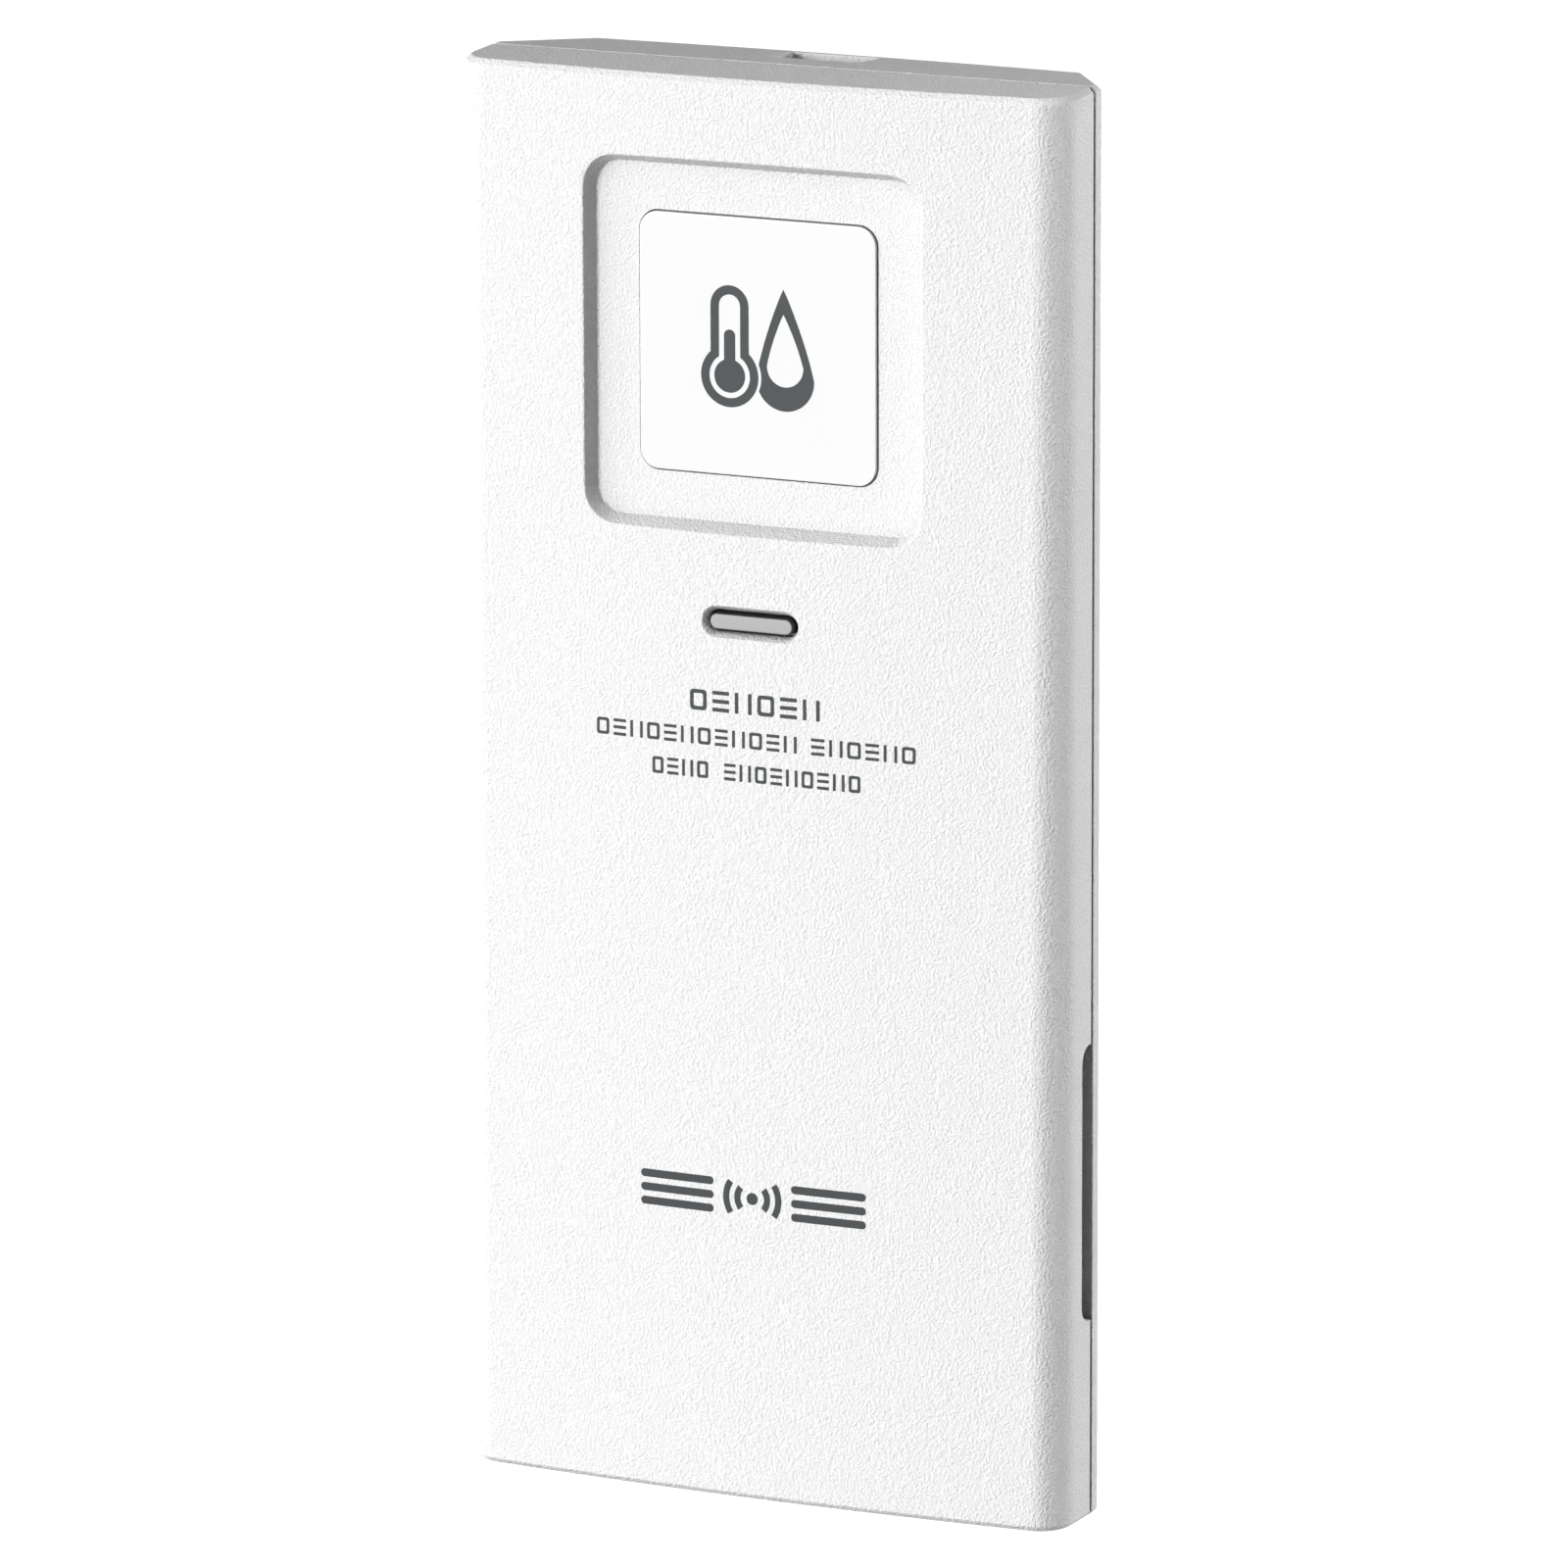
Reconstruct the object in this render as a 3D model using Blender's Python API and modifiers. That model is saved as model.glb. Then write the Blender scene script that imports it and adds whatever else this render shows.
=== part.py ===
"""Slim wireless hygro-thermo sensor: a two-shell case with its battery door, switches and electronics.

The case stands on Z = 0 with its front facing -Y. The origin is the middle of the base.
"""

import math

import bmesh
import bpy
from mathutils import Matrix, Vector

MM = 0.001

# Case
WIDTH = 58.5 * MM
HEIGHT = 127.4 * MM
DEPTH = 19.0 * MM
HALF = WIDTH / 2
FRONT_Y = -DEPTH / 2
BACK_Y = DEPTH / 2
FRONT_RADIUS = 347.0 * MM
BACK_RADIUS = 288.0 * MM
CORNER_FILLET = 3.1 * MM
EDGE_BEVEL = 0.55 * MM
WALL = 1.6 * MM
GAP = 0.3 * MM
FRONT_RIM_Y = -1.78 * MM
REAR_RIM_Y = FRONT_RIM_Y + 1.1 * GAP
SIDE_END_Y = -0.24 * MM
BACK_HALF = 23.7 * MM
TOP_FALL = 0.5 * MM
LIP_DEPTH = 0.9 * MM
LIP_WIDTH = 1.0 * MM
OVERCUT = 3.0 * MM

# Front face
RECESS_Z = 103.4 * MM
RECESS_FLOOR_HALF = 15.65 * MM
RECESS_FLOOR_Y = FRONT_Y + 1.85 * MM
RECESS_DRAFT = 0.436
RECESS_RADIUS = 2.4 * MM
PAN_WALL = 1.5 * MM
PLATE_HALF = 11.4 * MM
PLATE_RADIUS = 1.75 * MM
PLATE_PROUD = 0.27 * MM
PLATE_THICK = 0.42 * MM
PLATE_MARGIN = 0.2 * MM
LIGHT_Z = 79.2 * MM
SLOT_HALF = (4.25 * MM, 0.95 * MM)
COUNTERSINK_DEPTH = 0.75 * MM
COUNTERSINK_WIDTH = 0.44 * MM
PIPE_MARGIN = 0.2 * MM
PIPE_FRONT_Y = FRONT_Y + 0.15 * MM
PIPE_BACK_Y = -6.4 * MM

# Side vents and top hanger
VENT_Z = (17.7 * MM, 42.8 * MM)
VENT_FRONT_Y = -3.58 * MM
VENT_RADIUS = 1.1 * MM
HANGER_HALF = 4.3 * MM
HANGER_Y = (3.1 * MM, 8.1 * MM)
HANGER_FLOOR_Z = 106.5 * MM
KEYHOLE_Z = 112.0 * MM
KEYHOLE_RADIUS = 4.0 * MM
KEYHOLE_NECK = 2.3 * MM
KEYHOLE_TOP_Z = 119.0 * MM

# Case screws
BOSS_X = 19.8 * MM
BOSS_Z = (5.9 * MM, 120.3 * MM)
REAR_BOSS_RADIUS = 3.3 * MM
FRONT_BOSS_RADIUS = 2.5 * MM
SCREW_SEAT_Y = 3.0 * MM
SCREW_HEAD = (2.2 * MM, 1.6 * MM)
SCREW_SHANK_RADIUS = 1.0 * MM

# Battery bay, switch shelf and door
CELL_RADIUS = 6.95 * MM
CELL_LENGTH = 49.5 * MM
CELL_NUB = (2.7 * MM, 1.0 * MM)
CELL_X = 7.25 * MM
CELL_Y = 0.55 * MM
BAY_HALF = 15.0 * MM
BAY_WALL = 1.2 * MM
BAY_FLOOR_Y = -6.5 * MM
BAY_FLOOR = 0.8 * MM
BAY_Z = (13.2 * MM, 70.0 * MM)
CONTACT_THICK = 0.4 * MM
SHELF_Y = 2.6 * MM
SHELF_THICK = 1.0 * MM
SHELF_TOP_Z = 81.0 * MM
LEDGE_Y = 7.3 * MM
LEDGE_THICK = 1.2 * MM
LEDGE_WIDTH = 1.7 * MM
DOOR_HALF = 16.4 * MM
DOOR_Z = (10.0 * MM, 82.0 * MM)
DOOR_THICK = 1.3 * MM
DOOR_SCREW_Z = 78.0 * MM
HINGE_Y = 9.3 * MM
TAB_X = 9.0 * MM
TAB_HALF = 3.0 * MM

# Circuit board and switches
BOARD_Y = (-4.2 * MM, -3.0 * MM)
BOARD_HALF = 22.0 * MM
BOARD_Z = (71.6 * MM, 116.0 * MM)
BOARD_POST = (18.8 * MM, 82.0 * MM)
BOARD_BACK = BOARD_Y[1] + GAP
SWITCH_Z = 75.6 * MM
SLIDER_X = 8.0 * MM
SLIDER_TRAVEL = 4.0 * MM
SLIDER_HALF = 1.1 * MM
RESET_X = -8.0 * MM
RESET_RADIUS = 1.5 * MM

PARTS = "hygro_thermo_sensor"
CUTTERS = "cutters"


def clear_scene():
    for obj in list(bpy.data.objects):
        bpy.data.objects.remove(obj)
    for name in (PARTS, CUTTERS):
        bpy.context.scene.collection.children.link(bpy.data.collections.new(name))


def material(name, colour, roughness, metallic=0.0):
    made = bpy.data.materials.new(name)
    made.use_nodes = True
    shader = made.node_tree.nodes["Principled BSDF"]
    shader.inputs["Base Color"].default_value = (*colour, 1.0)
    shader.inputs["Roughness"].default_value = roughness
    shader.inputs["Metallic"].default_value = metallic
    return made


def add_object(name, mesh, collection):
    obj = bpy.data.objects.new(name, mesh)
    bpy.data.collections[collection].objects.link(obj)
    if collection == CUTTERS:
        obj.hide_render = True
        obj.display_type = "WIRE"
    return obj


def from_bmesh(name, shape, collection):
    bmesh.ops.recalc_face_normals(shape, faces=shape.faces)
    mesh = bpy.data.meshes.new(name)
    shape.to_mesh(mesh)
    shape.free()
    return add_object(name, mesh, collection)


def box(name, low, high, collection=PARTS):
    """A block between two corners, with its origin at its middle."""
    low, high = Vector(low), Vector(high)
    shape = bmesh.new()
    bmesh.ops.create_cube(shape, size=1.0, matrix=Matrix.Diagonal((*(high - low), 1.0)))
    obj = from_bmesh(name, shape, collection)
    obj.location = (low + high) / 2
    return obj


def cylinder_y(name, x, z, radius, y_low, y_high, collection=PARTS, sides=24):
    """A round bar along Y."""
    shape = bmesh.new()
    along_y = Matrix.Rotation(math.radians(90), 4, "X")
    bmesh.ops.create_cone(
        shape, cap_ends=True, segments=sides, radius1=radius, radius2=radius,
        depth=y_high - y_low, matrix=along_y,
    )
    obj = from_bmesh(name, shape, collection)
    obj.location = (x, (y_low + y_high) / 2, z)
    return obj


def arc(centre, radius, start, end, steps):
    """Points on a circle from one angle to another, in degrees."""
    angles = [math.radians(start + (end - start) * i / steps) for i in range(steps + 1)]
    return [(centre[0] + radius * math.cos(a), centre[1] + radius * math.sin(a)) for a in angles]


def rounded_rect(half_u, half_v, radius, steps=5):
    """A rectangle with round corners, anticlockwise about (0, 0)."""
    points = []
    for turn, (u, v) in enumerate(((1, 1), (-1, 1), (-1, -1), (1, -1))):
        centre = (u * (half_u - radius), v * (half_v - radius))
        points += arc(centre, radius, 90 * turn, 90 * turn + 90, steps)
    return without_repeats(points)


def without_repeats(points):
    kept = []
    for point in points:
        if all(math.dist(point, other) > 1e-6 for other in kept):
            kept.append(point)
    return kept


AXIS_PLACES = {
    "X": lambda u, v, along: (along, u, v),
    "Y": lambda u, v, along: (u, along, v),
    "Z": lambda u, v, along: (u, v, along),
}


def loft(name, outline, axis, low, high, far_outline=None, collection=PARTS):
    """A solid along an axis, from an outline at low to the same or another outline at high."""
    place = AXIS_PLACES[axis]
    shape = bmesh.new()
    rings = []
    for points, along in ((outline, low), (far_outline or outline, high)):
        corners = [shape.verts.new(place(u, v, along)) for u, v in points]
        rings.append(shape.faces.new(corners))
    edges = [edge for ring in rings for edge in ring.edges]
    bmesh.ops.bridge_loops(shape, edges=edges)
    return from_bmesh(name, shape, collection)


def turned(name, profile, location, rotation=(0.0, 0.0, 0.0), sides=32):
    """A solid turned about its own Z from (radius, height) points, listed from the top down."""
    mesh = bpy.data.meshes.new(name)
    points = [(radius, 0.0, height) for radius, height in profile]
    mesh.from_pydata(points, [(i, i + 1) for i in range(len(points) - 1)], [])
    obj = add_object(name, mesh, PARTS)
    screw = obj.modifiers.new("turn", "SCREW")
    screw.steps = screw.render_steps = sides
    screw.use_merge_vertices = True
    screw.merge_threshold = 0.00001
    obj.location, obj.rotation_euler = location, rotation
    return obj


def wire(name, points, radius, collection=PARTS):
    """A round wire through a list of points."""
    curve = bpy.data.curves.new(name, "CURVE")
    curve.dimensions = "3D"
    curve.bevel_depth = radius
    curve.bevel_resolution = 1
    curve.use_fill_caps = True
    spline = curve.splines.new("POLY")
    spline.points.add(len(points) - 1)
    for spot, point in zip(spline.points, points):
        spot.co = (*point, 1.0)
    return add_object(name, curve, collection)


def smooth_path(points, steps=6):
    """A smooth curve through the given points, as closer points."""
    points = [Vector(p) for p in points]
    ends = [2 * points[0] - points[1], *points, 2 * points[-1] - points[-2]]
    path = []
    for a, b, c, d in zip(ends, ends[1:], ends[2:], ends[3:]):
        for i in range(steps):
            t = i / steps
            path.append(0.5 * (2 * b + (c - a) * t + (2 * a - 5 * b + 4 * c - d) * t**2
                               + (3 * b - a - 3 * c + d) * t**3))
    return [*path, points[-1]]


def boolean(target, other, operation):
    step = target.modifiers.new(f"{operation.lower()} {other.name}", "BOOLEAN")
    step.operation = operation
    step.solver = "EXACT"
    step.object = other


def cut(target, *others):
    for other in others:
        boolean(target, other, "DIFFERENCE")


def join(target, *others):
    for other in others:
        boolean(target, other, "UNION")


def paint(obj, finish):
    obj.data.materials.append(finish)
    return obj


def move_origin(obj, point):
    """Puts the origin on a joint's axis and leaves the shape where it is."""
    shift = Vector(point) - obj.location
    obj.data.transform(Matrix.Translation(-shift))
    obj.location = point


def bevel_edges(obj, chosen, width, steps):
    """Bevels the edges that the test picks by their two ends."""
    shape = bmesh.new()
    shape.from_mesh(obj.data)
    edges = [edge for edge in shape.edges if chosen(edge.verts[0].co, edge.verts[1].co)]
    bmesh.ops.bevel(
        shape, geom=edges, offset=width, segments=steps, profile=0.5, affect="EDGES",
        clamp_overlap=True,
    )
    shape.to_mesh(obj.data)
    shape.free()


def front_plan(inset, rear_y):
    """The front shell seen from above: a bowed face, two fillets and straight sides."""
    bow = (0.0, FRONT_Y + FRONT_RADIUS)
    corner_x = HALF - CORNER_FILLET
    reach = FRONT_RADIUS - CORNER_FILLET
    corner = (corner_x, bow[1] - math.sqrt(reach**2 - corner_x**2))
    lean = math.degrees(math.asin(corner_x / reach))
    right = arc(corner, CORNER_FILLET - inset, 0, -90 + lean, 6)
    face = arc(bow, FRONT_RADIUS - inset, -90 + lean, -90 - lean, 16)
    half = [(HALF - inset, rear_y), *right]
    left = [(-x, y) for x, y in reversed(half)]
    return without_repeats([*half, *face, *left])


def rear_plan(inset, side_half, front_y):
    """The rear shell seen from above: short straight sides, chamfers and a bowed back."""
    bow_y = BACK_Y - BACK_RADIUS
    edge_y = bow_y + math.sqrt(BACK_RADIUS**2 - BACK_HALF**2)
    slope = Vector((BACK_HALF - HALF, edge_y - SIDE_END_Y)).normalized()
    start = Vector((HALF, SIDE_END_Y)) + inset * Vector((-slope.y, slope.x))
    side_y = start.y + (side_half - start.x) * slope.y / slope.x
    from_bow = start - Vector((0.0, bow_y))
    half_b = from_bow.dot(slope)
    radius = BACK_RADIUS - inset
    run = -half_b + math.sqrt(half_b**2 - from_bow.length_squared + radius**2)
    corner = start + run * slope
    lean = math.degrees(math.asin(corner.x / radius))
    back = arc((0.0, bow_y), radius, 90 - lean, 90 + lean, 14)
    half = [(side_half, front_y), (side_half, side_y)]
    left = [(-x, y) for x, y in reversed(half)]
    return without_repeats([*half, *back, *left])


def make_front_shell(finish):
    shell = loft("front_shell", front_plan(0.0, FRONT_RIM_Y), "Z", 0.0, HEIGHT)
    level = (0.0, HEIGHT)
    bevel_edges(
        shell,
        lambda a, b: any(abs(a.z - z) + abs(b.z - z) < 1e-6 for z in level)
        and abs(a.y - FRONT_RIM_Y) + abs(b.y - FRONT_RIM_Y) > 1e-6,
        EDGE_BEVEL, 2,
    )
    cavity = loft("front_cavity", front_plan(WALL, FRONT_RIM_Y + OVERCUT), "Z",
                  WALL, HEIGHT - WALL, collection=CUTTERS)
    pan_half = RECESS_FLOOR_HALF + PAN_WALL
    pan = box("recess_pan", (-pan_half, -12 * MM, RECESS_Z - pan_half),
              (pan_half, RECESS_FLOOR_Y + PAN_WALL, RECESS_Z + pan_half), CUTTERS)
    bosses = [
        cylinder_y(f"front_boss_{i}", x, z, FRONT_BOSS_RADIUS, -12 * MM, FRONT_RIM_Y - GAP, CUTTERS)
        for i, (x, z) in enumerate(case_screw_places())
    ]
    posts = [
        cylinder_y(f"board_post_{i}", x, BOARD_POST[1], 2.0 * MM, -12 * MM, BOARD_Y[0] - GAP, CUTTERS)
        for i, x in enumerate((-BOARD_POST[0], BOARD_POST[0]))
    ]
    cut(cavity, pan, *bosses, *posts)
    pilots = [
        cylinder_y(f"front_pilot_{i}", x, z, 1.25 * MM, -6.5 * MM, 0.0, CUTTERS, 16)
        for i, (x, z) in enumerate(case_screw_places())
    ]
    post_pilots = [
        cylinder_y(f"post_pilot_{i}", x, BOARD_POST[1], 1.0 * MM, -7.0 * MM, 0.0, CUTTERS, 16)
        for i, x in enumerate((-BOARD_POST[0], BOARD_POST[0]))
    ]
    cut(shell, cavity, recess_cutter(), plate_cutter(), *light_slot_cutters())
    cut(shell, *[vent_cutter(side) for side in (-1, 1)], *pilots, *post_pilots)
    return paint(shell, finish)


def case_screw_places():
    return [(x, z) for z in BOSS_Z for x in (-BOSS_X, BOSS_X)]


def raised(points, z):
    return [(u, v + z) for u, v in points]


def recess_cutter():
    """The drafted square recess, cut from ahead of the face down to its floor."""
    mouth_y = FRONT_Y - OVERCUT
    flare = RECESS_DRAFT * (RECESS_FLOOR_Y - mouth_y)
    mouth = rounded_rect(RECESS_FLOOR_HALF + flare, RECESS_FLOOR_HALF + flare, RECESS_RADIUS + flare)
    floor = rounded_rect(RECESS_FLOOR_HALF, RECESS_FLOOR_HALF, RECESS_RADIUS)
    return loft("recess_cut", raised(mouth, RECESS_Z), "Y", mouth_y, RECESS_FLOOR_Y,
                raised(floor, RECESS_Z), CUTTERS)


def plate_cutter():
    half = PLATE_HALF + PLATE_MARGIN
    outline = raised(rounded_rect(half, half, PLATE_RADIUS + PLATE_MARGIN), RECESS_Z)
    back = RECESS_FLOOR_Y - PLATE_PROUD + PLATE_THICK + GAP
    return loft("plate_seat_cut", outline, "Y", FRONT_Y - OVERCUT, back, collection=CUTTERS)


def slot_outline(grow):
    half_u, half_v = SLOT_HALF[0] + grow, SLOT_HALF[1] + grow
    return raised(rounded_rect(half_u, half_v, half_v * 0.999), LIGHT_Z)


def light_slot_cutters():
    """The slot of the status light and its countersink."""
    slot = loft("light_slot_cut", slot_outline(0.0), "Y", FRONT_Y - OVERCUT, -6.5 * MM,
                collection=CUTTERS)
    ahead = 2 * COUNTERSINK_WIDTH
    sink = loft("light_sink_cut", slot_outline(ahead), "Y", FRONT_Y - COUNTERSINK_DEPTH,
                FRONT_Y + COUNTERSINK_DEPTH, slot_outline(0.0), CUTTERS)
    return slot, sink


def vent_cutter(side):
    """A long notch in the rear edge of one side wall, round at its two inner corners."""
    rear = FRONT_RIM_Y + OVERCUT
    low, high = VENT_Z
    front = VENT_FRONT_Y + VENT_RADIUS
    lower = arc((front, low + VENT_RADIUS), VENT_RADIUS, 270, 180, 5)
    upper = arc((front, high - VENT_RADIUS), VENT_RADIUS, 180, 90, 5)
    outline = [(rear, low), *lower, *upper, (rear, high)]
    ends = sorted((side * (HALF - 2 * WALL), side * (HALF + OVERCUT)))
    name = "vent_cut_right" if side > 0 else "vent_cut_left"
    return loft(name, outline, "X", *ends, collection=CUTTERS)


def make_rear_shell(finish):
    plan = rear_plan(0.0, HALF, REAR_RIM_Y)
    shell = loft("rear_shell", plan, "Z", 0.0, HEIGHT)
    bevel_edges(
        shell,
        lambda a, b: abs(a.z - b.z) < 1e-6 and max(a.y, b.y) > REAR_RIM_Y + 1e-6
        or min(a.y, b.y) > SIDE_END_Y + MM and abs(abs(a.x) - BACK_HALF) < 0.1 * MM,
        EDGE_BEVEL, 2,
    )
    for vert in shell.data.vertices:
        if vert.co.z > HEIGHT / 2:
            share = (vert.co.y - SIDE_END_Y) / (BACK_Y - SIDE_END_Y)
            vert.co.z -= TOP_FALL * max(0.0, share)
    lip_half = HALF - WALL - GAP
    lip_z = WALL + GAP
    lip = box("lip", (-lip_half, REAR_RIM_Y - LIP_DEPTH, lip_z),
              (lip_half, 2 * MM, HEIGHT - lip_z), CUTTERS)
    inner_half = lip_half - LIP_WIDTH
    inner_z = lip_z + LIP_WIDTH
    cavity = loft("rear_cavity", rear_plan(WALL, inner_half, REAR_RIM_Y - OVERCUT), "Z",
                  inner_z, HEIGHT - inner_z, collection=CUTTERS)
    cut(cavity, *rear_kept_blocks())
    tub_half = BAY_HALF + BAY_WALL
    tub = box("bay_tub", (-tub_half, BAY_FLOOR_Y - BAY_FLOOR, BAY_Z[0] - BAY_WALL),
              (tub_half, MM, BAY_Z[1] + BAY_WALL), CUTTERS)
    join(shell, lip, tub)
    cut(shell, cavity, *compartment_cutters(), *hanger_cutters(), *case_screw_cutters())
    cut(shell, *switch_cutters(), *[lip_vent_cutter(side) for side in (-1, 1)])
    return paint(shell, finish)


def rear_kept_blocks():
    """Solid stretches left standing in the rear shell's hollow."""
    outer = BAY_HALF + BAY_WALL
    bay = box("bay_block", (-outer, BAY_FLOOR_Y - BAY_FLOOR, BAY_Z[0] - BAY_WALL),
              (outer, BACK_Y, BAY_Z[1] + BAY_WALL), CUTTERS)
    shelf = box("shelf_block", (-outer, SHELF_Y - SHELF_THICK, BAY_Z[1]),
                (outer, BACK_Y, SHELF_TOP_Z + BAY_WALL), CUTTERS)
    ledge_half = BAY_HALF + LEDGE_WIDTH + BAY_WALL
    ledge = box("ledge_block", (-ledge_half, LEDGE_Y - LEDGE_THICK, DOOR_Z[0] - GAP - BAY_WALL),
                (ledge_half, BACK_Y, DOOR_Z[1] + GAP + BAY_WALL), CUTTERS)
    hanger = box("hanger_block", (-HANGER_HALF - BAY_WALL, HANGER_Y[0] - BAY_WALL,
                                  HANGER_FLOOR_Z - BAY_WALL),
                 (HANGER_HALF + BAY_WALL, BACK_Y, HEIGHT), CUTTERS)
    bosses = [
        cylinder_y(f"rear_boss_{i}", x, z, REAR_BOSS_RADIUS, FRONT_RIM_Y, BACK_Y, CUTTERS)
        for i, (x, z) in enumerate(case_screw_places())
    ]
    pillar = cylinder_y("door_screw_pillar", 0.0, DOOR_SCREW_Z, 2.6 * MM, SHELF_Y - SHELF_THICK / 2,
                        BACK_Y, CUTTERS)
    return [bay, shelf, ledge, hanger, *bosses, pillar]


def compartment_cutters():
    """The battery bay, the step down to the switch shelf, the door's seat and the hook pockets."""
    behind = BACK_Y + OVERCUT
    bay = box("bay_cut", (-BAY_HALF, BAY_FLOOR_Y, BAY_Z[0]), (BAY_HALF, behind, BAY_Z[1]), CUTTERS)
    shelf = box("shelf_cut", (-BAY_HALF, SHELF_Y, BAY_Z[1] - MM), (BAY_HALF, behind, SHELF_TOP_Z),
                CUTTERS)
    pillar = cylinder_y("pillar_keep", 0.0, DOOR_SCREW_Z, 2.4 * MM, 0.0, LEDGE_Y - GAP, CUTTERS)
    cut(shelf, pillar)
    pilot = cylinder_y("door_pilot", 0.0, DOOR_SCREW_Z, 1.35 * MM, SHELF_Y + 0.6 * MM,
                       behind, CUTTERS, 16)
    seat_half = DOOR_HALF + GAP
    seat = box("door_seat_cut", (-seat_half, LEDGE_Y, DOOR_Z[0] - GAP),
               (seat_half, behind, DOOR_Z[1] + GAP), CUTTERS)
    hooks = [
        box(f"hook_pocket_{i}", (x - TAB_HALF - 1.3 * GAP, 5.2 * MM, 7.4 * MM),
            (x + TAB_HALF + 1.3 * GAP, 7.55 * MM, BAY_Z[0] + MM), CUTTERS)
        for i, x in enumerate((-TAB_X, TAB_X))
    ]
    lead_holes = [
        box(f"lead_hole_{i}", (x - 0.9 * MM, BAY_FLOOR_Y, BAY_Z[1] - MM),
            (x + 0.9 * MM, BAY_FLOOR_Y + 1.8 * MM, BAY_Z[1] + 2 * MM), CUTTERS)
        for i, x in enumerate((-CELL_X, CELL_X))
    ]
    return [bay, shelf, pilot, seat, *hooks, *lead_holes]


def hanger_cutters():
    """The pocket open at the top wall, and the keyhole through the back wall."""
    pocket = box("hanger_cut", (-HANGER_HALF, HANGER_Y[0], HANGER_FLOOR_Z),
                 (HANGER_HALF, HANGER_Y[1], HEIGHT + OVERCUT), CUTTERS)
    spread = math.degrees(math.asin(KEYHOLE_NECK / KEYHOLE_RADIUS))
    round_part = arc((0.0, KEYHOLE_Z), KEYHOLE_RADIUS, 90 + spread, 450 - spread, 20)
    neck = arc((0.0, KEYHOLE_TOP_Z), KEYHOLE_NECK, 0, 180, 8)
    keyhole = loft("keyhole_cut", [*round_part, *neck], "Y", HANGER_Y[1] - MM, BACK_Y + OVERCUT,
                   collection=CUTTERS)
    return [pocket, keyhole]


def case_screw_cutters():
    cutters = []
    for i, (x, z) in enumerate(case_screw_places()):
        cutters.append(cylinder_y(f"screw_well_{i}", x, z, SCREW_HEAD[0] + GAP, SCREW_SEAT_Y,
                                  BACK_Y + OVERCUT, CUTTERS))
        cutters.append(cylinder_y(f"screw_hole_{i}", x, z, SCREW_SHANK_RADIUS + GAP,
                                  FRONT_RIM_Y - MM, SCREW_SEAT_Y + MM, CUTTERS, 16))
    return cutters


def switch_cutters():
    """The slider's slot and the reset button's hole, through the shelf."""
    low, high = SHELF_Y - SHELF_THICK - MM, SHELF_Y + MM
    reach = SLIDER_HALF + GAP
    slot = box("slider_slot_cut", (SLIDER_X - SLIDER_TRAVEL / 2 - reach, low, SWITCH_Z - reach),
               (SLIDER_X + SLIDER_TRAVEL / 2 + reach, high, SWITCH_Z + reach), CUTTERS)
    hole = cylinder_y("reset_hole_cut", RESET_X, SWITCH_Z, RESET_RADIUS + GAP, low, high, CUTTERS)
    return [slot, hole]


def lip_vent_cutter(side):
    """Opens the inner lip behind a vent notch."""
    ends = sorted((side * (HALF - WALL), side * (HALF - 3 * WALL)))
    name = "lip_vent_right" if side > 0 else "lip_vent_left"
    return box(name, (ends[0], REAR_RIM_Y - OVERCUT, VENT_Z[0] - MM),
               (ends[1], REAR_RIM_Y, VENT_Z[1] + MM), CUTTERS)


def make_icon_plate(finish):
    front = RECESS_FLOOR_Y - PLATE_PROUD
    outline = rounded_rect(PLATE_HALF, PLATE_HALF, PLATE_RADIUS)
    plate = loft("icon_plate", outline, "Y", 0.0, PLATE_THICK)
    plate.location = (0.0, front, RECESS_Z)
    return paint(plate, finish)


def make_light_pipe(finish):
    """A stadium bar that fills the slot, with a flange behind the wall."""
    half_u, half_v = SLOT_HALF[0] - PIPE_MARGIN, SLOT_HALF[1] - PIPE_MARGIN
    soft = 0.3 * MM
    shaft = loft("light_pipe", rounded_rect(half_u, half_v, half_v * 0.999), "Y",
                 PIPE_FRONT_Y + soft, PIPE_BACK_Y)
    nose_outline = rounded_rect(half_u - soft, half_v - soft, (half_v - soft) * 0.999)
    nose = loft("light_pipe_nose", nose_outline, "Y", PIPE_FRONT_Y, PIPE_FRONT_Y + soft,
                rounded_rect(half_u, half_v, half_v * 0.999), CUTTERS)
    flange = box("light_pipe_flange", (-half_u - MM, FRONT_Y + WALL + GAP, -half_v - MM),
                 (half_u + MM, FRONT_Y + WALL + GAP + MM, half_v + MM), CUTTERS)
    for piece in (shaft, nose, flange):
        piece.location.z = LIGHT_Z
    join(shaft, nose, flange)
    return paint(shaft, finish)


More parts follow.
